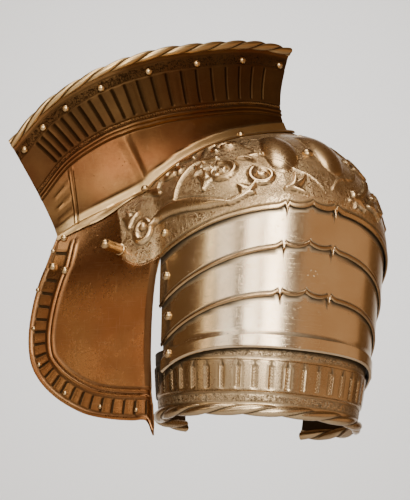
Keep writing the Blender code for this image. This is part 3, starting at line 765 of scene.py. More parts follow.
field_points = field_points + field_normal * wing_lift(field_along, field_z)
band_points = band_points + band_normal * wing_lift(band_along, band_z)
# The hem strip is painted darker: painted shade on its turned edge.
on_hem = smooth(inside_hem(field_along, field_z) / 0.0010) * (field_z < hem_top_z)
field_cavity = np.maximum(field_cavity, hem_shade * on_hem)
print("largest swell:", round(float(wing_swell(field_along, field_z).max()), 4))

# %% Join the three grids into one closed sheet
arm_ids = grid_ids(arm_points)
field_ids = np.full(field_points.shape[:2], -1)
own = np.ones(field_ids.shape, bool)
own[:arm_rows + 1, -1] = False
field_ids[own] = arm_ids.size + np.arange(own.sum())
field_ids[:arm_rows + 1, -1] = arm_ids[:, 0]
band_ids = np.full(band_points.shape[:2], -1)
band_ids[:-1] = arm_ids.size + own.sum() + np.arange(band_ids[:-1].size).reshape(band_ids[:-1].shape)
band_ids[-1, :field_rows + 1] = field_ids[:, 0]
band_ids[-1, field_rows:] = field_ids[-1, :]
points = np.concatenate([arm_points.reshape(-1, 3), field_points[own], band_points[:-1].reshape(-1, 3)])
inward = -np.concatenate([arm_normal.reshape(-1, 3), field_normal[own], band_normal[:-1].reshape(-1, 3)])
attributes = {
    "cavity": np.concatenate([arm_cavity.ravel(), field_cavity[own], band_cavity[:-1].ravel()]),
    "ground": np.concatenate([arm_ground.ravel(), field_ground[own], np.zeros(band_ids[:-1].size)]),
    "wing": np.concatenate([arm_wing.ravel(), field_wing[own], np.ones(band_ids[:-1].size)]),
}
loop = np.concatenate([
    arm_ids[0, :-1], arm_ids[:-1, -1], arm_ids[-1, :0:-1],
    field_ids[arm_rows:-1, -1], band_ids[:0:-1, -1], band_ids[0, :0:-1], band_ids[:-1, 0],
    field_ids[0, :-1],
])
shoulder_mesh = sheet_mesh("shoulder_skin", points, inward, (arm_ids, field_ids, band_ids.T), loop,
                           plate_gauge, attributes)
shoulder_skin = put("shoulder_skin", shoulder_mesh)
print("shoulder skin:", len(shoulder_mesh.polygons), "faces")

# %% [markdown]
# ## The neck guard
# The guard is one sheet with a flange that lies on the shoulder plate. Its border under the rim holds
# an etched strip, a row of flutes and a double bead. The columns of the mesh follow the flutes, which
# aren't evenly spaced: they draw together toward the front, as the smith laid them out.

# %% Sizes of the neck guard
guard_flange = 0.0085
guard_tab = 0.0055
guard_tab_half_width = 0.0110
guard_tab_fade = 1.4
guard_hollow = 0.0085
guard_hollow_power = 0.8
guard_rope_radius = 0.0036
guard_strand_pitch = 0.0220
guard_front_narrowing = 0.08
guard_narrowing_from = 0.0600
guard_narrowing_length = 0.1500
foot_margin = -0.9
flange_rivet_alongs = (-0.0910, 0.0000, 0.1680)
guard_flute_count = 21
first_flute = 0.0212
flute_spacing, spacing_growth, widest_spacing = 0.0066, 0.00056, 0.0154
flute_gaps = np.minimum(flute_spacing + spacing_growth * np.arange(guard_flute_count - 1), widest_spacing)
guard_flutes = first_flute + np.concatenate([[0.0], np.cumsum(flute_gaps)])
guard_slants = ((0.0, 0.40), (0.03, 0.40), (0.08, 0.34), (0.12, 0.22), (0.16, 0.12), (0.22, 0.05),
                (0.28, 0.0))
flute_half_width = 0.0012
flute_top, flute_foot = 0.0178, 0.0432
flute_depth = 0.0010
guard_ruled = (0.0072, 0.0158, 0.0458, 0.0494, 0.0566)
guard_bead_rows = (0.0513, 0.0546)
guard_ribs = (0.0300, 0.0334)
guard_bars = (0.30, 0.55, 0.80)
guard_bead_half = 0.0014
guard_band_from, guard_band_to = 0.0022, 0.0580


# %% The neck guard's surface
def guard_frame(along):
    row = spline_at(stations, along)
    ahead = spline_at(stations, along + 0.004)[..., 3:]
    behind = spline_at(stations, along - 0.004)[..., 3:]
    foot, rim = row[..., :3], row[..., 3:]
    return foot, rim, unit(np.cross(rim - foot, behind - ahead))


def guard_start(along):
    foot = spline_at(stations, along)[..., :3]
    return foot + shoulder_normal(along, np.full_like(along, foot_margin)) * (touch_gap + plate_gauge)


def guard_share(along, depth):
    front = smooth((guard_narrowing_from - along) / guard_narrowing_length)
    height = np.linalg.norm(guard_frame(along)[1] - guard_start(along), axis=-1)
    return np.maximum(0.0, 1 - depth * (1 - guard_front_narrowing * front) / height)


def guard_point(along, share, lift):
    outward = guard_frame(along)[2]
    start, rim = guard_start(along), guard_frame(along)[1]
    hollow = guard_hollow * np.sin(math.pi * share ** guard_hollow_power)
    return start + (rim - start) * share[..., None] + outward * (lift - hollow)[..., None]


def guard_rim_table():
    alongs = np.linspace(stations[1][0], stations[-1][0], 600)
    rims = spline_at(stations, alongs)[:, 3:]
    steps = np.linalg.norm(np.diff(rims, axis=0), axis=1)
    return np.concatenate([[0.0], np.cumsum(steps)]), alongs


def foot_table(along):
    """Down coordinates along the shoulder from the guard's foot, with their lengths."""
    downs = np.linspace(-1.0, -0.72, 60)
    path = shoulder_base(along[:, None], downs[None, :])
    steps = np.linalg.norm(np.diff(path, axis=1), axis=2)
    return downs, np.concatenate([np.zeros((len(along), 1)), np.cumsum(steps, axis=1)], axis=1)


# %% Columns and rows of the neck guard
rim_length, rim_along = guard_rim_table()
marks = []
for flute in guard_flutes:
    marks += [flute + k * flute_half_width for k in (-1.5, -0.9, 0.0, 0.9, 1.5)]
guard_travel = with_marks(0.0, rim_length[-1], 0.0019, marks)
guard_along = np.interp(guard_travel, rim_length, rim_along)
band_rows, hollow_rows, flange_rows = 84, 20, 8
slant = np.interp(guard_travel, *np.array(guard_slants).T)
slant = slant * smooth(guard_travel / 0.02) * smooth((rim_length[-1] - guard_travel) / 0.012)
depth = np.linspace(guard_band_from, guard_band_to, band_rows + 1)[:, None] + 0 * guard_along[None]
shift = slant * np.clip(depth - flute_top, 0.0, 0.030)
fall = np.linspace(1, 0, hollow_rows + 1)[1:, None]
shift = np.concatenate([shift, shift[-1:] * fall])
along = np.interp(guard_travel + shift, rim_length, rim_along)
share_band = guard_share(along[:band_rows + 1], depth)
share = np.concatenate([share_band, share_band[-1:] * fall])
travel = np.broadcast_to(guard_travel, share.shape)
deep = np.concatenate([depth, np.full((hollow_rows, depth.shape[1]), 0.060)])
print("neck guard grid:", share.shape)

# %% Relief of the neck guard
nearest = np.abs(travel[..., None] - guard_flutes).min(axis=-1)
beyond = np.maximum(0.0, np.abs(deep - (flute_top + flute_foot) / 2) - (flute_foot - flute_top) / 2)
away = np.hypot(nearest, 1.2 * beyond)
flute = smooth((flute_half_width * 1.35 - away) / (0.7 * flute_half_width))
frame_line = thin_line(away, 0.0030, 0.0005) * plateau(deep, 0.0165, 0.0452, 0.0006)
ruled = sum(thin_line(deep, at, 0.00045) for at in guard_ruled)
beads = 0.0010 * sum(round_bead(deep, at, guard_bead_half) for at in guard_bead_rows)
lift = (0.0004 * plateau(deep, 0.0160, 0.0456, 0.0006) - flute_depth * flute - 0.00025 * frame_line
        - 0.0003 * ruled + beads)
crease_share = (0.44, 0.11)
crease_along = (-0.0086, 0.0054)
crease_at = np.interp(-share, [-crease_share[0], -crease_share[1]], crease_along)
crease = np.maximum(0.0, 1 - np.abs(along - crease_at) / 0.0090) * plateau(share, 0.03, 0.47, 0.12)
lift = lift + 0.0011 * crease
low = smooth((share_band[-1:] * 0.995 - share) / (0.04 * share_band[-1:]))
ribs = sum(round_bead(travel, at, guard_bead_half) for at in guard_ribs)
bars = sum(round_bead(share / share_band[-1:], at, 0.035) for at in guard_bars)
bars = bars * plateau(travel, 0.008, 0.0275, 0.001)
lift = lift + 0.0009 * (ribs + 0.8 * bars) * low
above_foot = share * np.linalg.norm(guard_frame(along)[1] - guard_start(along), axis=-1)
lip = smooth((0.0068 - above_foot) / 0.0009)
lift = lift + 0.0010 * lip
face_points = guard_point(along, share, lift)
lip_line = thin_line(above_foot, 0.0074, 0.0005)
# Painted shade in the flutes and in the incised lines above and beside them; the next line darkens the band
# itself, its own russet tone.
guard_cavity = np.clip(1.1 * flute + 0.5 * frame_line + 0.7 * ruled + 0.8 * lip_line, 0, 1)
guard_cavity = np.maximum(guard_cavity, 0.5 * plateau(deep, 0.0060, 0.0455, 0.0010))
guard_etch = plateau(deep, 0.0076, 0.0154, 0.0006) + plateau(deep, 0.0460, 0.0492, 0.0006)
print("deepest and highest relief:", round(float(lift.min()), 4), round(float(lift.max()), 4))

# %% The guard's flange and its closed sheet
downs, lengths = foot_table(guard_along)
off = np.abs(guard_along - flange_rivet_alongs[1]) / guard_tab_half_width
reach = guard_flange + guard_tab * smooth(guard_tab_fade - off)
flange = []
for k in range(1, flange_rows + 1):
    part = k / flange_rows
    down = np.array([np.interp(part * r, row, downs) for r, row in zip(reach, lengths)])
    rounding = 0.0005 * max(0.0, part - 0.9) / 0.1
    bead = 0.0003 * math.sin(math.pi * min(1.0, max(0.0, (part - 0.45) / 0.5)))
    flange.append(shoulder_base(guard_along, down) + shoulder_normal(guard_along, down)
                  * (touch_gap + plate_gauge - rounding + bead))
guard_points = np.concatenate([face_points, np.array(flange)])
fill = np.zeros((flange_rows, guard_points.shape[1]))
guard_ids = grid_ids(guard_points)
guard_flat = guard_points.reshape(-1, 3)
guard_normals = grid_normals(guard_flat, guard_ids)
guard_attributes = {"cavity": np.concatenate([guard_cavity, fill]).ravel(),
                    "ground": np.concatenate([guard_etch, fill]).ravel(),
                    "bare": np.concatenate([lip, fill + 1]).ravel()}
guard_sheet = sheet_mesh("neck_guard_sheet", guard_flat, -guard_normals.reshape(-1, 3), (guard_ids,),
                         border_loop(guard_ids), plate_gauge, guard_attributes)
print("neck guard sheet:", len(guard_sheet.polygons), "faces")

# %% [markdown]
# ## Roped edges
# A roped edge is a turned-over rim, filed with slanting grooves until it looks like a twisted cord.
# A tube with two lobes that turn as it runs along gives the same long slanting strands.


# %% A twisted tube
def rope_mesh(name, centre, out, up, radius, travelled, pitch, sides=28):
    turn = np.linspace(0, 2 * math.pi, sides, endpoint=False)
    phase = np.mod(turn[None, :] / math.pi - travelled[:, None] / pitch, 1.0)
    wave = 1 - np.abs(2 * phase ** 0.75 - 1) ** 2.4
    lobe = 0.62 + 0.50 * wave
    circle = out[:, None] * np.cos(turn)[None, :, None] + up[:, None] * np.sin(turn)[None, :, None]
    rings = centre[:, None] + circle * (radius * lobe)[..., None]
    ids = grid_ids(rings)
    closed = np.concatenate([ids, ids[:, :1]], axis=1)
    faces = quads(closed)
    faces.append(ids[0].tolist())
    faces.append(ids[-1, ::-1].tolist())
    # The grooves between the strands are painted darker: painted shade.
    groove = smooth((0.42 - wave) / 0.26)
    return make_mesh(name, rings.reshape(-1, 3), faces,
                     {"cavity": groove.ravel(), "bare": smooth(0.2 + wave).ravel()}, 60)


def facing_out(mesh):
    """Turn all faces of closed meshes outward."""
    bm = bmesh.new()
    bm.from_mesh(mesh)
    bmesh.ops.recalc_face_normals(bm, faces=bm.faces)
    bm.to_mesh(mesh)
    bm.free()
    return mesh


def joined(name, *meshes):
    """One mesh from several, with their attributes."""
    bm = bmesh.new()
    for mesh in meshes:
        bm.from_mesh(mesh)
    made = from_bmesh(name, bm)
    made.shade_smooth()
    made.set_sharp_from_angle(angle=math.radians(42))
    return made


rope_travel = np.linspace(0, rim_length[-1], 420)
rope_along = np.interp(rope_travel, rim_length, rim_along)
foot, rim, outward = guard_frame(rope_along)
up = unit(rim - guard_start(rope_along))
over = unit(outward - up * (outward * up).sum(axis=-1, keepdims=True))
guard_rope = rope_mesh("guard_rope", rim - over * plate_gauge / 2, -over, -up, guard_rope_radius,
                       rope_travel, guard_strand_pitch)
neck_guard = put("neck_guard_skin", joined("neck_guard_skin", guard_sheet, facing_out(guard_rope)))
print("neck guard:", len(neck_guard.data.polygons), "faces")

# %% [markdown]
# ## The lames
# A lame is a short band of sheet with its upper edge hidden under the plate above. Only its lower edge
# is worked: a narrow strip set off by an incised line, and in the middle two scallops with nibs.

# %% The three narrow lames
narrow_strip, broad_strip = 0.0032, 0.0108
lame_rows_share = np.concatenate([np.linspace(0, 0.80, 14), np.linspace(0.80, 1, 20)[1:]])


def lame_radius(order, z):
    outer = shoulder_radius - plate_gauge + lame_gauge - order * (lame_gauge + nesting_gap)
    return outer + lame_taper * (z - shoulder_edge_z)


def tucked_radius(order, angle, z):
    radius = lame_radius(order, z)
    if order > 1:
        return radius
    along = along_at(angle)
    edge = edge_height(along)
    foot = spline_at(stations, along)[..., :3]
    plan = plan_at(along)
    length = np.linalg.norm(plan, axis=-1)
    flat = section_flatness(along)
    share = np.clip((z - edge) / (foot[..., 2] - edge), 0.0, 1.0)
    turn = np.arcsin(share ** (1 / flat))
    reach = ((plan - foot[..., :2]) * plan).sum(axis=-1) / length
    inner = length - reach * (1 - np.clip(np.cos(turn), 0, 1) ** flat) - plate_gauge
    return np.where(z > edge, np.minimum(radius, inner - tucked_gap), radius)


def edge_above(order, angle):
    """Height of the lower edge of the plate that covers this lame."""
    if order == 1:
        return edge_height(along_at(angle)) + cusp(angle, shoulder_radius)
    edge, drop, power = lame_edges[order - 2][1:4]
    low = edge - drop * (1 - np.cos(np.radians(angle))) ** power
    if order - 1 < len(lame_edges):
        low = low + cusp(angle, lame_radius(order - 1, edge))
    return low


def painted_edge_shadow(order, angle, z):
    """Painted shadow on a plate just below the lower edge of the plate that covers it, where it runs under
    that plate.
    """
    below = np.maximum(0.0, edge_above(order, angle) - z)
    return smooth((0.0034 - below) / 0.0022)


def lame_mesh(order, row):
    name, edge, drop, power, top, top_drop = row
    cusped = name != lame_edges[-1][0]
    turn = math.degrees(1.5 * cusp_half_width / lame_radius(order, edge))
    marks = (-2 * turn, 2 * turn)
    angles = with_marks(-lame_end_angle, lame_end_angle, 1.0, marks)
    if cusped:
        fine = np.linspace(cusp_centre_angle - turn, cusp_centre_angle + turn, 113)
        outside = (angles < fine[0] - 0.4) | (angles > fine[-1] + 0.4)
        angles = np.sort(np.concatenate([angles[outside], fine]))
        while (len(angles) - 1) % 4:
            i = int(np.argmax(np.diff(angles)))
            angles = np.insert(angles, i + 1, angles[i:i + 2].mean())
    share, angle = np.broadcast_arrays(lame_rows_share[:, None], angles[None, :])
    fall = 1 - np.cos(np.radians(angle))
    high = top - top_drop * fall
    low = edge - drop * fall ** power
    z = high + (low - high) * share
    if cusped:
        rise, nib = cusp_parts(angle, lame_radius(order, edge))
        z = z + rise * share ** 3 - nib * share ** 18
        low = low + rise - nib
    radius = tucked_radius(order, angle, z)
    if not cusped:
        radius = radius + step_relief * smooth((share - 0.74) / 0.03)
    above = z - low
    strip_width = narrow_strip if cusped else broad_strip
    line = thin_line(above, strip_width, 0.0005 if cusped else 0.0007)
    strip = (0.0004 if cusped else 0.0009) * plateau(above, 0.0008, strip_width - 0.0004, 0.0008)
    lip = 0.0005 * smooth((0.0005 - above) / 0.0005)
    plain = radius
    radius = radius + strip - 0.0003 * line - lip
    a = np.radians(angle)
    points = round_arm(radius, a, z)
    ids = grid_ids(points)
    deep = (lame_gauge + radius - plain) / lame_gauge
    inward = -round_arm(deep, a, 0 * a)
    tone = plateau(above, -0.001, strip_width, 0.0006)
    # Painted shadow under the edge of the plate above; it joins the incised line in the cavity attribute.
    shade = painted_edge_shadow(order, angle, z)
    return sheet_mesh(name + "_skin", points.reshape(-1, 3), inward.reshape(-1, 3), (ids,),
                      border_loop(ids), lame_gauge,
                      {"cavity": np.clip((0.8 if cusped else 1.1) * line + 0.9 * shade, 0, 1).ravel(),
                       "brown": (tone * cusped).ravel()})


lames = []
for i, row in enumerate(lame_edges):
    skin = put(row[0] + "_skin", lame_mesh(i + 1, row))
    lames.append(skin)
    print(skin.name, len(skin.data.polygons), "faces")

# %% [markdown]
# ## The lower lame
# The last lame is the widest. Its raised band carries flutes with pointed tops between framed panels,
# and an etched strip runs above and below it. The mesh's columns lie at the sides of each flute.

# %% Sizes of the lower lame
lower_top_z = -0.1780
lower_top_drop = 0.0100
lower_slack = 0.0004
lower_draw = 0.0062
lower_power = 1.2
band_top_z, band_bottom_z = -0.1990, -0.2220
band_relief = 0.0011
rope_centre_z = -0.2360
lower_rope_radius = 0.0042
lower_front_angle, lower_rear_angle = -155.0, 128.0
lower_strand_pitch = 0.0300
lower_flute_pitch = 8.75
lower_flute_half_width = 0.0017
lower_flute_depth = 0.0006
lower_ruled = (band_top_z + 0.0022, band_top_z + 0.0098, band_bottom_z - 0.0022, band_bottom_z - 0.0084)


# %% The lower lame's surface
def lower_surface(z):
    share = np.maximum(lower_top_z - z, 0.0) / (lower_top_z - rope_centre_z)
    radius = lame_radius(len(lame_edges) + 1, lower_top_z) - lower_slack
    radius = radius - lower_draw * share ** lower_power
    return radius + band_relief * plateau(z, band_bottom_z, band_top_z, 0.0008)


bottom_radius = float(lower_surface(np.array(rope_centre_z)))
middle_radius = float(lower_surface(np.array((band_top_z + band_bottom_z) / 2)))
lower_flutes = [-0.5 + lower_flute_pitch * k for k in range(-17, 15)]
side = math.degrees(lower_flute_half_width / middle_radius)
marks = []
for flute_angle in lower_flutes:
    marks += [flute_angle + k * side for k in (-1.25, -0.85, 0.0, 0.85, 1.25)]
lower_angles = with_marks(lower_front_angle, lower_rear_angle, 0.85, marks)
parts = (np.linspace(0, 1, 15), np.linspace(0, 1, 35)[1:], np.linspace(0, 1, 13)[1:])
turn = np.radians(lower_angles)
top = lower_top_z - lower_top_drop * np.minimum(1 - np.cos(turn), 1.0)
knots = (top, band_top_z + 0.0012 + 0 * top, band_bottom_z - 0.0012 + 0 * top,
         rope_centre_z + 0.7 * lower_rope_radius + 0 * top)
z = np.concatenate([knots[k] + (knots[k + 1] - knots[k]) * parts[k][:, None] for k in range(3)])
angle = np.broadcast_to(lower_angles, z.shape)
print("lower lame grid:", z.shape)

# %% Relief of the lower lame
high = np.clip((z - band_bottom_z - 0.0015) / (band_top_z - band_bottom_z - 0.0020), 0, 1)
half = lower_flute_half_width * np.minimum(1.0, (np.maximum(0.0, 1 - high) / 0.20)) ** 0.65
off = np.abs(angle[..., None] - np.array(lower_flutes))
off = np.radians(off.min(axis=-1)) * middle_radius
inside = plateau(z, band_bottom_z + 0.0018, band_top_z - 0.0003, 0.0006)
flute = smooth((half * 1.1 - off) / 0.0006) * inside
frame_line = thin_line(off - half, 0.0013, 0.00035) * inside
ruled = sum(thin_line(z, at, 0.00045) for at in lower_ruled)
radius = lower_surface(z) - lower_flute_depth * flute - 0.0002 * frame_line - 0.0003 * ruled
lower_points = round_arm(radius, np.radians(angle), z)
lower_ids = grid_ids(lower_points)
etch = plateau(z, band_top_z + 0.0026, band_top_z + 0.0094, 0.0005)
etch = etch + plateau(z, band_bottom_z - 0.0080, band_bottom_z - 0.0026, 0.0005)
# Painted shade in the flutes, darkest at their pointed tops, and painted shadow under the edge of lame_3,
# all carried by the cavity attribute.
pointed = smooth((high - 0.74) / 0.1)
cavity = flute * (0.15 + 0.7 * pointed) + 0.6 * ruled + 0.5 * frame_line + 0.9 * painted_edge_shadow(4, angle, z)
lower_attributes = {"cavity": np.clip(cavity, 0, 1).ravel(), "ground": np.clip(etch, 0, 1).ravel()}
inward = -round_arm(1.0, np.radians(angle), 0 * angle)
lower_sheet = sheet_mesh("lower_sheet", lower_points.reshape(-1, 3), inward.reshape(-1, 3), (lower_ids,),
                         border_loop(lower_ids), lame_gauge, lower_attributes)
print("lower sheet:", len(lower_sheet.polygons), "faces")

# %% The lower lame's roped edge
rope_turn = np.radians(np.linspace(lower_front_angle, lower_rear_angle, 460))
out = round_arm(1.0, rope_turn, 0 * rope_turn)
centre = out * (bottom_radius - lame_gauge / 2) + np.array([0, 0, rope_centre_z])
lower_rope = rope_mesh("lower_rope", centre, out, np.array([[0, 0, 1.0]]) + 0 * out, lower_rope_radius,
                       rope_turn * bottom_radius, lower_strand_pitch)
lower_lame = put("lower_lame_skin", joined("lower_lame_skin", lower_sheet, facing_out(lower_rope)))
print("lower lame:", len(lower_lame.data.polygons), "faces")

# %% [markdown]
# ## Lace holes
# Two round holes at the lame's rear ends took a lace. A Boolean cuts them through the finished sheet,
# which keeps their edges crisp.

# %% Cut the lace holes
lace_hole_radius = 0.0025
lace_hole_angle = 7.0
lace_hole_z = band_top_z - 0.006
lace_sides = 28
for hole_angle in (lower_front_angle + lace_hole_angle, lower_rear_angle - lace_hole_angle):
    turn = math.radians(hole_angle)
    normal = Vector((math.cos(turn), math.sin(turn), 0))
    bm = bmesh.new()
    place = Matrix.Translation(normal * middle_radius + Vector((0, 0, lace_hole_z)))
    bmesh.ops.create_cone(bm, cap_ends=True, segments=lace_sides, radius1=lace_hole_radius,
                          radius2=lace_hole_radius, depth=0.012,
                          matrix=place @ normal.to_track_quat("Z", "Y").to_matrix().to_4x4())
    cut_away(lower_lame, bm)
print("lower lame with holes:", len(lower_lame.data.polygons), "faces")

# %% [markdown]
# ## Rivets
# A rivet is a short pin: its round head shows outside and its other end is hammered flat inside. They
# repeat all over the armour, so a node group sets one turned head at each seat. The seats are points
# of a small mesh, found by a ray cast on the finished plates, and each carries its direction and size.

# %% Places and sizes of the rivets
pivot_x = shoulder_radius * math.cos(math.radians(79.0))
pivot_heights = (-0.1000, -0.1330, -0.1640, -0.1930)
rim_rivet_alongs = (-0.0925, -0.0765, -0.0566, -0.0226, 0.0393, 0.1132, 0.1991, 0.2890)
rim_rivet_depth = 0.0125
wing_rivets = ((-0.1010, -0.1210), (-0.0880, -0.1250))
lining_rivets = (
    (-0.1020, -0.1085),
    (-0.1120, -0.1400),
    (-0.1145, -0.1710),
    (-0.1070, -0.2000),
    (-0.0800, -0.2230),
    (-0.0460, -0.2340),
    (-0.0120, -0.2370),
)
rivet_sizes = {
    # radius and height of the head, thickness that the pin passes through
    "pivot": (0.0036, 0.0032, 0.0040),
    "rim": (0.0032, 0.0027, plate_gauge),
    "flange": (0.0032, 0.0028, 2 * plate_gauge),
    "wing": (0.0034, 0.0034, plate_gauge),
    "lining": (0.0020, 0.0018, plate_gauge),
    "centre": (0.0046, 0.0042, plate_gauge),
}
trees = {}
bodies = {"shoulder": [], "lame_1": [], "lame_2": [], "lame_3": []}
replaced = {name: [] for name in bodies}


# %% How a rivet finds its seat
def land(skin, point, normal, reach=0.010):
    """Where a line along the normal meets a finished plate from outside."""
    if skin.name not in trees:
        trees[skin.name] = BVHTree.FromPolygons([v.co for v in skin.data.vertices],
                                                [p.vertices for p in skin.data.polygons])
    point, normal = Vector(point), Vector(normal)
    spot = trees[skin.name].ray_cast(point + normal * reach, -normal)[0]
    return spot if spot else point


def one(function, *values):
    return Vector(function(*[np.array(float(v)) for v in values]))


def shoulder_place(along, down):
    """Point and normal on the plain shoulder plate."""
    return one(shoulder_base, along, down), one(shoulder_normal, along, down)


def wing_place(along, z):
    return shoulder_place(along, float(wing_down(np.array(along), np.array(z))))


def seat(kind, node, skin, point, normal, body="shoulder", heading=None):
    """Note the seat of a rivet on a finished plate, and the solid that the rivet stands for."""
    heading = Vector(normal) if heading is None else heading
    bodies[body].append((land(skin, point, normal), heading, *rivet_sizes[kind]))
    replaced[body].append(node)


# %% A seat for every rivet
for order, (body, skin, z) in enumerate(zip(bodies, [shoulder_skin] + lames, pivot_heights)):
    for side, end in ((-1, "front"), (1, "rear")):
        heading = Vector((pivot_x, side * shoulder_radius, 0)).normalized()
        seat("pivot", f"pivot_rivet_{end}_{order + 1}", skin, (pivot_x, side * shoulder_radius, z),
             (0, side, 0), body, heading)
for i, along in enumerate(rim_rivet_alongs):
    at = np.array(along)
    point = guard_point(at, guard_share(at, np.array(rim_rivet_depth)), np.array(0.0))
    seat("rim", f"rim_rivet_{i + 1}", neck_guard, point, guard_frame(at)[2])
for i, along in enumerate(flange_rivet_alongs):
    downs, lengths = foot_table(np.array([along]))
    half_tab = 0.5 * guard_tab * float(smooth(np.array(guard_tab_fade - abs(along) / guard_tab_half_width)))
    down = float(np.interp(0.0053 + half_tab, lengths[0], downs))
    seat("flange", f"flange_rivet_{i + 1}", neck_guard, *shoulder_place(along, down))
for kind, places in (("wing", wing_rivets), ("lining", lining_rivets)):
    for i, place in enumerate(places):
        seat(kind, f"{kind}_rivet_{i + 1}", shoulder_skin, *wing_place(*place))
seat("centre", "centre_rivet", shoulder_skin, *shoulder_place(centre_rivet_along, centre_rivet_down))
print("rivets:", {body: len(seats) for body, seats in bodies.items()})

# %% [markdown]
# ## A head for every seat
# The head is a flattened ball, half of it hidden in the plate. The node group reads each point's
# direction and its three sizes, and a second, flatter ball at the inner end is the hammered tail.

# %% The rivet node group
def rivet_group(finish):
    group = bpy.data.node_groups.new("rivet_heads", "GeometryNodeTree")
    group.interface.new_socket("Geometry", in_out="INPUT", socket_type="NodeSocketGeometry")
    sides = group.interface.new_socket("Sides", in_out="INPUT", socket_type="NodeSocketInt")
    sides.default_value = 32
    rings = group.interface.new_socket("Rings", in_out="INPUT", socket_type="NodeSocketInt")
    rings.default_value = 16
    group.interface.new_socket("Geometry", in_out="OUTPUT", socket_type="NodeSocketGeometry")
    nodes, links = group.nodes, group.links
    source, result = nodes.new("NodeGroupInput"), nodes.new("NodeGroupOutput")

    def read(name, kind):
        attribute = nodes.new("GeometryNodeInputNamedAttribute")
        attribute.data_type = kind
        attribute.inputs["Name"].default_value = name
        return attribute.outputs["Attribute"]

    points = nodes.new("GeometryNodeMeshToPoints")
    ball = nodes.new("GeometryNodeMeshUVSphere")
    ball.inputs["Radius"].default_value = 1.0
    smooth_ball = nodes.new("GeometryNodeSetShadeSmooth")
    turn = nodes.new("FunctionNodeAlignRotationToVector")
    turn.axis = "Z"
    place = nodes.new("GeometryNodeInstanceOnPoints")
    real = nodes.new("GeometryNodeRealizeInstances")
    dress = nodes.new("GeometryNodeSetMaterial")
    dress.inputs["Material"].default_value = finish
    links.new(source.outputs["Geometry"], points.inputs["Mesh"])
    links.new(source.outputs["Sides"], ball.inputs["Segments"])
    links.new(source.outputs["Rings"], ball.inputs["Rings"])
    links.new(ball.outputs["Mesh"], smooth_ball.inputs["Geometry"])
    links.new(read("heading", "FLOAT_VECTOR"), turn.inputs["Vector"])
    links.new(points.outputs["Points"], place.inputs["Points"])
    links.new(smooth_ball.outputs["Geometry"], place.inputs["Instance"])
    links.new(turn.outputs["Rotation"], place.inputs["Rotation"])
    links.new(read("sizes", "FLOAT_VECTOR"), place.inputs["Scale"])
    links.new(place.outputs["Instances"], real.inputs["Geometry"])
    links.new(real.outputs["Geometry"], dress.inputs["Geometry"])
    links.new(dress.outputs["Geometry"], result.inputs["Geometry"])
    return group, sides.identifier, rings.identifier


def set_heads(name, points, headings, sizes, group, sides, rings):
    """One plain mesh with a head at each point."""
    mesh = bpy.data.meshes.new(name + "_seats")
    mesh.from_pydata([tuple(p) for p in points], [], [])
    for key, rows in (("heading", headings), ("sizes", sizes)):
        layer = mesh.attributes.new(key, "FLOAT_VECTOR", "POINT")
        layer.data.foreach_set("vector", np.array([tuple(r) for r in rows], np.float32).ravel())
    piece = put(name, mesh)
    heads = piece.modifiers.new("heads", "NODES")
    heads.node_group, sides_socket, rings_socket = group
    heads[sides_socket] = sides
    heads[rings_socket] = rings
    make_plain(piece)
    return piece


def rivet_piece(body, seats, group):
    points, headings, sizes = [], [], []
    for spot, normal, radius, height, grip in seats:
        points += [spot, spot - normal * grip]
        headings += [normal, normal]
        sizes += [(radius, radius, height), (0.7 * radius, 0.7 * radius, 0.0008)]
    return set_heads(body + "_rivets", points, headings, sizes, group, 32, 16)
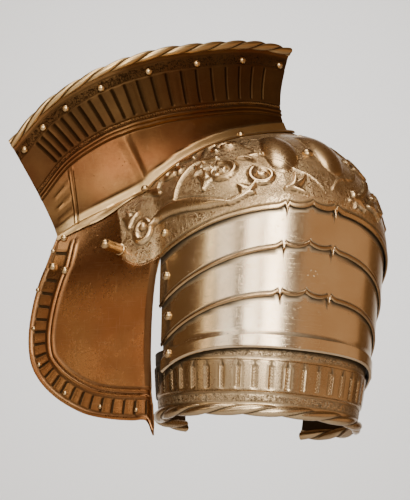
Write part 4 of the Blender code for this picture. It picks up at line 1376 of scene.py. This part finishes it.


# %% [markdown]
# ## Steel that has been browned, etched and handled
# One recipe serves all the plates: bare steel under a warm patina that is uneven and worn along the ridges,
# with fine scratches and small pits. The "cavity" attribute darkens the colour: in hollows, grooves,
# flutes and incised lines and under the edge of the plate above this is painted shade, and on the guard's
# band it is the band's own darker tone. The "inside" attribute paints the inner faces near black, also
# painted shade. Where a plate's attribute says "ground", the surface is punched or etched. Each finish
# only changes the colours and amounts.

# %% A node tree for steel
def steel(name, light, dark, patch, roughness, over=None):
    made = bpy.data.materials.new(name)
    made.use_nodes = True
    nodes, links = made.node_tree.nodes, made.node_tree.links
    shader = nodes["Principled BSDF"]
    shader.inputs["Metallic"].default_value = 1.0
    where = nodes.new("ShaderNodeTexCoord").outputs["Object"]

    def add(kind, **values):
        """A node with the given values in its inputs; an underscore stands for a space."""
        node = nodes.new("ShaderNode" + kind)
        for key, value in values.items():
            node.inputs[key.replace("_", " ")].default_value = value
        return node

    def noise(scale, detail, rough=0.55, distort=0.0, source=None):
        node = add("TexNoise", Scale=scale, Detail=detail, Roughness=rough, Distortion=distort)
        links.new(source or where, node.inputs["Vector"])
        return node.outputs["Fac"]

    def span(value, a, b, low=0.0, high=1.0):
        node = add("MapRange", From_Min=a, From_Max=b, To_Min=low, To_Max=high)
        links.new(value, node.inputs["Value"])
        return node.outputs["Result"]

    def calc(operation, a, b):
        node = nodes.new("ShaderNodeMath")
        node.operation = operation
        for socket, value in zip(node.inputs, (a, b)):
            if isinstance(value, (int, float)):
                socket.default_value = value
            else:
                links.new(value, socket)
        return node.outputs["Value"]

    def blend(share, a, b):
        node = nodes.new("ShaderNodeMix")
        node.data_type = "RGBA"
        links.new(share, node.inputs["Factor"])
        for key, value in (("A", a), ("B", b)):
            socket = [s for s in node.inputs if s.name == key and s.type == "RGBA"][0]
            if isinstance(value, tuple):
                socket.default_value = (*value, 1.0)
            else:
                links.new(value, socket)
        return [s for s in node.outputs if s.type == "RGBA"][0]

    def attribute(key):
        node = nodes.new("ShaderNodeAttribute")
        node.attribute_name = key
        return node.outputs["Fac"]

    def stretched(scale, turn):
        node = add("Mapping", Scale=scale, Rotation=turn)
        links.new(where, node.inputs["Vector"])
        return node.outputs["Vector"]

    def cells(scale):
        node = add("TexVoronoi", Scale=scale)
        links.new(where, node.inputs["Vector"])
        return node.outputs["Distance"]

    cavity, ground, inside = attribute("cavity"), attribute("ground"), attribute("inside")
    cloud = span(noise(22, 6, 0.62), 0.35, 0.68)
    broad = span(noise(9, 3), 0.38, 0.62)
    fine = noise(420, 5, 0.6)
    scratch_a = span(noise(1.0, 4, 0.5, 0.0, stretched((40, 70, 1300), (0.7, 0.35, 0.2))), 0.60, 0.68)
    scratch_b = span(noise(1.0, 3, 0.5, 0.0, stretched((1200, 80, 60), (0.3, 0.8, 1.1))), 0.62, 0.70)
    scratches = calc("MAXIMUM", scratch_a, scratch_b)
    pits = calc("MULTIPLY", span(cells(330), 0.16, 0.06), span(noise(60, 3), 0.56, 0.68))
    punched = span(cells(1050), 0.42, 0.18)
    curls = noise(155, 2, 0.5, 2.2)
    vine_edge = calc("MULTIPLY", span(curls, 0.47, 0.50), span(curls, 0.56, 0.53))
    etch_dark = calc("MULTIPLY", ground, calc("MAXIMUM", calc("MULTIPLY", punched, 0.75), vine_edge))

    base = blend(cloud, light, dark)
    base = blend(calc("MULTIPLY", broad, 0.55), base, patch)
    if over:
        key, other_light, other_dark, other_patch = over
        other = blend(cloud, other_light, other_dark)
        other = blend(calc("MULTIPLY", broad, 0.55), other, other_patch)
        base = blend(attribute(key), base, other)
    worn = calc("MULTIPLY", scratches, 0.05)
    base = blend(worn, base, tuple(min(1.0, 1.5 * c + 0.05) for c in light))
    # cavity: painted shade in recesses and under plate edges, and the guard band's own darker tone.
    for share, amount, tone in ((etch_dark, 0.8, 0.22), (pits, 0.7, 0.18), (cavity, 0.92, 0.08)):
        base = blend(calc("MULTIPLY", share, amount), base, tuple(tone * c for c in dark))
    # Inner faces painted near black: painted shade.
    base = blend(calc("MULTIPLY", inside, 0.85), base, (0.035, 0.024, 0.018))
    links.new(base, shader.inputs["Base Color"])

    rough = span(fine, 0.3, 0.7, roughness - 0.03, roughness + 0.04)
    rough = calc("ADD", rough, calc("MULTIPLY", cloud, 0.08))
    rough = calc("ADD", rough, calc("MULTIPLY", calc("MAXIMUM", etch_dark, cavity), 0.42))
    rough = calc("ADD", rough, calc("MULTIPLY", inside, 0.30))
    links.new(rough, shader.inputs["Roughness"])

    height = calc("MULTIPLY", fine, 0.03)
    height = calc("SUBTRACT", height, calc("MULTIPLY", scratches, 0.05))
    height = calc("SUBTRACT", height, calc("MULTIPLY", pits, 0.8))
    height = calc("SUBTRACT", height, etch_dark)
    bump = nodes.new("ShaderNodeBump")
    bump.inputs["Strength"].default_value = 0.55
    bump.inputs["Distance"].default_value = 0.0006
    links.new(height, bump.inputs["Height"])
    links.new(bump.outputs["Normal"], shader.inputs["Normal"])
    return made


# %% The finishes
shoulder_steel = steel("etched_steel", (0.70, 0.51, 0.29), (0.50, 0.33, 0.16), (0.38, 0.22, 0.10), 0.24,
                       ("wing", (0.34, 0.180, 0.075), (0.21, 0.098, 0.038), (0.27, 0.082, 0.028)))
guard_steel = steel("russet_guard_steel", (0.150, 0.078, 0.028), (0.088, 0.042, 0.015),
                    (0.120, 0.032, 0.010), 0.30,
                    ("bare", (0.60, 0.42, 0.20), (0.44, 0.28, 0.12), (0.34, 0.19, 0.08)))
lame_steel = steel("bright_lame_steel", (0.80, 0.66, 0.47), (0.68, 0.51, 0.32), (0.56, 0.38, 0.20), 0.17,
                   ("brown", (0.50, 0.34, 0.18), (0.38, 0.24, 0.12), (0.30, 0.17, 0.08)))
lower_steel = steel("bright_lower_steel", (0.60, 0.46, 0.29), (0.44, 0.31, 0.17), (0.34, 0.21, 0.10), 0.22)
rivet_steel = steel("bright_rivet_steel", (0.60, 0.44, 0.24), (0.38, 0.24, 0.11), (0.28, 0.16, 0.07), 0.20)
group = rivet_group(rivet_steel)
rivets = {body: rivet_piece(body, seats, group) for body, seats in bodies.items()}
print("rivet pieces:", ", ".join(p.name for p in rivets.values()))

# %% [markdown]
# ## Rows of beads
# A row of small punched beads runs under the guard's flutes, another follows the edge of the etched
# ground on the wing, and each flute of the lower lame is filled with them. They use the same node
# group as the rivets, with a coarser ball.

# %% The beads
guard_bead_depth = 0.0476
guard_bead_pitch = 0.0024
travel = np.arange(0.0015, rim_length[-1] - 0.001, guard_bead_pitch)
along = np.interp(travel, rim_length, rim_along)
share = guard_share(along, np.full_like(along, guard_bead_depth))
points = guard_point(along, share, np.zeros_like(along))
headings = guard_frame(along)[2]
guard_beads = set_heads("guard_beads", points, headings, [(0.00085, 0.00085, 0.0008)] * len(points),
                        group, 10, 6)
turns = np.linspace(0.03, 0.97, 27)
along = ground_left + ground_arc_width * turns
z = ground_arc(turns) - 0.0010
down = wing_down(along, z)
arc_points = shoulder_base(along, down) + shoulder_normal(along, down) * wing_swell(along, z)[:, None]
arc_beads = set_heads("arc_beads", arc_points, shoulder_normal(along, down),
                      [(0.00042, 0.00042, 0.0005)] * len(along), group, 10, 6)
spots, headings = [], []
for flute_angle in lower_flutes:
    if lower_front_angle + 10 < flute_angle < lower_rear_angle - 10:
        for k, z in enumerate(np.linspace(band_bottom_z + 0.0028, band_top_z - 0.0055, 13)):
            a = math.radians(flute_angle) + (0.5 if k % 2 else -0.5) * 0.0011 / middle_radius
            out = np.array([math.cos(a), math.sin(a), 0])
            r = float(lower_surface(np.array(z))) - lower_flute_depth
            spots.append(out * r + np.array([0, 0, z]))
            headings.append(out)
lower_beads = set_heads("lower_beads", spots, headings, [(0.0007, 0.0007, 0.0006)] * len(spots), group,
                        8, 6)
print("beads:", len(points), len(along), len(spots))

# %% [markdown]
# ## The pierced stud
# A turned stud stands on the front, with a long slot near its end for a pin. Spinning its outline
# round its axis gives the turned body, and a Boolean cuts the slot.

# %% The pierced stud
stud_along, stud_z = -0.0355, -0.1100
stud_profile = (
    (0.0, 0.0250), (0.0017, 0.0247), (0.0032, 0.0237), (0.0041, 0.0222), (0.0044, 0.0200),
    (0.0043, 0.0110), (0.0042, 0.0098), (0.0040, 0.0090), (0.0041, 0.0082), (0.0041, 0.0034),
    (0.0041, 0.0026), (0.0048, 0.0021), (0.0048, 0.0004), (0.0046, 0.0000), (0.0014, -0.0002),
    (0.0014, -0.0021), (0.0026, -0.0021), (0.0024, -0.0028), (0.0, -0.0029),
)


def turned_mesh(name, profile, sides=48):
    bm = bmesh.new()
    verts = [bm.verts.new((r, 0, z)) for r, z in profile]
    edges = [bm.edges.new(pair) for pair in zip(verts, verts[1:])]
    bmesh.ops.spin(bm, geom=verts + edges, cent=(0, 0, 0), axis=(0, 0, 1), angle=2 * math.pi,
                   steps=sides, use_merge=True, use_duplicate=False)
    bmesh.ops.remove_doubles(bm, verts=bm.verts, dist=0.000005)
    bmesh.ops.recalc_face_normals(bm, faces=bm.faces)
    return from_bmesh(name, bm)


stud = put("stud", turned_mesh("stud", stud_profile))
bm = bmesh.new()
bmesh.ops.create_cube(bm, size=1.0)
bmesh.ops.scale(bm, vec=(0.013, 0.0016, 0.0074), verts=bm.verts)
ends = [e for e in bm.edges if abs(e.verts[0].co.x - e.verts[1].co.x) > 0.01]
bmesh.ops.bevel(bm, geom=ends, offset=0.00075, segments=4, affect="EDGES", profile=0.5)
bmesh.ops.translate(bm, vec=(0, 0, 0.0138), verts=bm.verts)
cut_away(stud, bm)
point, normal = wing_place(stud_along, stud_z)
spot = land(shoulder_skin, point, normal)
normal = (normal + Vector((0, 0, -0.22))).normalized()
through = Vector((0.72, -0.30, 0.62))
through = (through - normal * through.dot(normal)).normalized()
turned = Matrix((through, normal.cross(through), normal)).transposed().to_4x4()
stud.data.transform(Matrix.Translation(spot) @ turned)
stud.data.shade_smooth()
stud.data.set_sharp_from_angle(angle=math.radians(35))
print("stud:", len(stud.data.polygons), "faces")

# %% [markdown]
# ## Pieces and their bodies
# Each piece rides on its body, stands for the model's own nodes, which are hidden, and takes its finish.

# %% Pieces, bodies and finishes
pieces = [
    (shoulder_skin, "shoulder", "shoulder_steel", shoulder_steel, ("shoulder_plate",)),
    (neck_guard, "shoulder", "guard_steel", guard_steel, ("neck_guard",)),
    (lames[0], "lame_1", "lame_steel", lame_steel, ("lame_1",)),
    (lames[1], "lame_2", "lame_steel", lame_steel, ("lame_2",)),
    (lames[2], "lame_3", "lame_steel", lame_steel, ("lame_3",)),
    (lower_lame, "lower_lame", "lower_steel", lower_steel, ("lower_lame",)),
    (stud, "shoulder", "rivet_steel", rivet_steel, ("pierced_stud",)),
    (guard_beads, "shoulder", "guard_steel", guard_steel, ()),
    (arc_beads, "shoulder", "shoulder_steel", shoulder_steel, ()),
    (lower_beads, "lower_lame", "lower_steel", lower_steel, ()),
]
for body, piece in rivets.items():
    pieces.append((piece, body, "rivet_steel", rivet_steel, tuple(replaced[body])))
for piece, body, slot, finish, nodes in pieces:
    piece.data.materials.clear()
    piece.data.materials.append(finish)
    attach(piece, body)
    if nodes:
        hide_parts(*nodes)
print(len(pieces), "pieces")

# %% [markdown]
# ## Light
# Polished steel shows what stands round it. In the photograph the lames mirror a tall soft light that
# ends sharply toward the rear, so a row of soft panels stands up behind the camera on that side, and
# the rest of the room is dim. The floor lies below the picture.


# %% Panels, room and floor
def panel(name, azimuth, elevation, reach, wide, high, radiance, tint=(1.0, 0.97, 0.92), spin=0.0):
    """Area light in a direction from the object, turned to face it."""
    a, e = math.radians(azimuth), math.radians(elevation)
    middle = Vector((0.02, 0.0, -0.08))
    way = Vector((math.cos(a) * math.cos(e), math.sin(a) * math.cos(e), math.sin(e)))
    lamp = bpy.data.lights.new(name, "AREA")
    lamp.shape = "RECTANGLE"
    lamp.size, lamp.size_y = wide, high
    lamp.energy = radiance * math.pi * wide * high
    lamp.color = tint
    light = bpy.data.objects.new(name, lamp)
    bpy.context.scene.collection.objects.link(light)
    light.matrix_world = (Matrix.Translation(middle + way * reach)
                          @ way.to_track_quat("Z", "Y").to_matrix().to_4x4()
                          @ Matrix.Rotation(math.radians(spin), 4, "Z"))
    return light


panel("key_panel_bright", -15.5, 14, 1.9, 0.58, 1.5, 11.0)
panel("key_panel_middle", -36, 14, 1.9, 0.48, 1.5, 5.5)
panel("key_panel_far", -62, 14, 1.9, 0.60, 1.5, 2.0)
panel("top_panel", -62, 68, 1.6, 1.0, 0.8, 8.0)
panel("wing_panel", -80, 4, 1.9, 0.22, 1.1, 2.6, (1.0, 0.84, 0.58), -38)
panel("low_panel", -95, -30, 1.8, 0.5, 0.5, 0.8, (1.0, 0.80, 0.62))
panel("rear_panel", 52, 8, 2.4, 4.2, 2.0, 0.42, (1.0, 0.64, 0.38))

world = bpy.data.worlds.new("room")
bpy.context.scene.world = world
world.use_nodes = True
world.node_tree.nodes["Background"].inputs["Color"].default_value = (0.42, 0.23, 0.10, 1.0)
world.node_tree.nodes["Background"].inputs["Strength"].default_value = 0.36

pale = bpy.data.materials.new("pale_floor")
pale.use_nodes = True
pale.node_tree.nodes["Principled BSDF"].inputs["Base Color"].default_value = (0.80, 0.80, 0.79, 1.0)
pale.node_tree.nodes["Principled BSDF"].inputs["Roughness"].default_value = 0.9
floor_z = -1.0
floor_reach = 7.0
wall_distance = 5.0


def stage_plane(name, corners):
    mesh = bpy.data.meshes.new(name)
    mesh.from_pydata([tuple(c) for c in corners], [], [(0, 1, 2, 3)])
    mesh.materials.append(pale)
    plane = put(name, mesh)
    return plane


stage_plane("floor", [(x * floor_reach, y * floor_reach, floor_z)
                      for x, y in ((-1, -1), (1, -1), (1, 1), (-1, 1))])
back = math.radians(158)
ahead = Vector((math.cos(back), math.sin(back), 0))
side = Vector((-ahead.y, ahead.x, 0))
stage_plane("backdrop", [ahead * wall_distance + side * s + Vector((0, 0, h)) for s, h in
                         ((-4.0, floor_z), (4.0, floor_z), (4.0, 4.0), (-4.0, 4.0))])
backlight = panel("backdrop_light", 158, 25, 3.2, 2.2, 2.2, 7.0, (1.0, 1.0, 1.0))
facing = Vector((0, 0, 0.9)) + ahead * wall_distance - backlight.location
backlight.rotation_euler = facing.to_track_quat("-Z", "Y").to_euler()

# %% [markdown]
# ## The camera
# The camera was found by fitting the plates' outlines to the photograph: it looks up from below the
# part, a little in front of its side.

# %% The camera
azimuth, elevation, roll = math.radians(68), math.radians(-12), math.radians(3.3)
way = Vector((math.sin(azimuth) * math.cos(elevation), -math.cos(azimuth) * math.cos(elevation),
              math.sin(elevation)))
level = Vector((math.cos(azimuth), math.sin(azimuth), 0))
lift = way.cross(level)
right = level * math.cos(roll) + lift * math.sin(roll)
upward = lift * math.cos(roll) - level * math.sin(roll)
lens = bpy.data.cameras.new("camera")
lens.sensor_fit = "HORIZONTAL"
lens.sensor_width = 36.0
lens.lens = 164.6
lens.dof.use_dof = False
lens.clip_start, lens.clip_end = 0.05, 20.0
camera = bpy.data.objects.new("camera", lens)
bpy.context.scene.collection.objects.link(camera)
placed = Matrix((right, upward, way)).transposed().to_4x4()
placed.translation = Vector((1.3420, -0.5950, -0.4120))
camera.matrix_world = placed
bpy.context.scene.camera = camera
print("camera:", [round(v, 3) for v in camera.location])
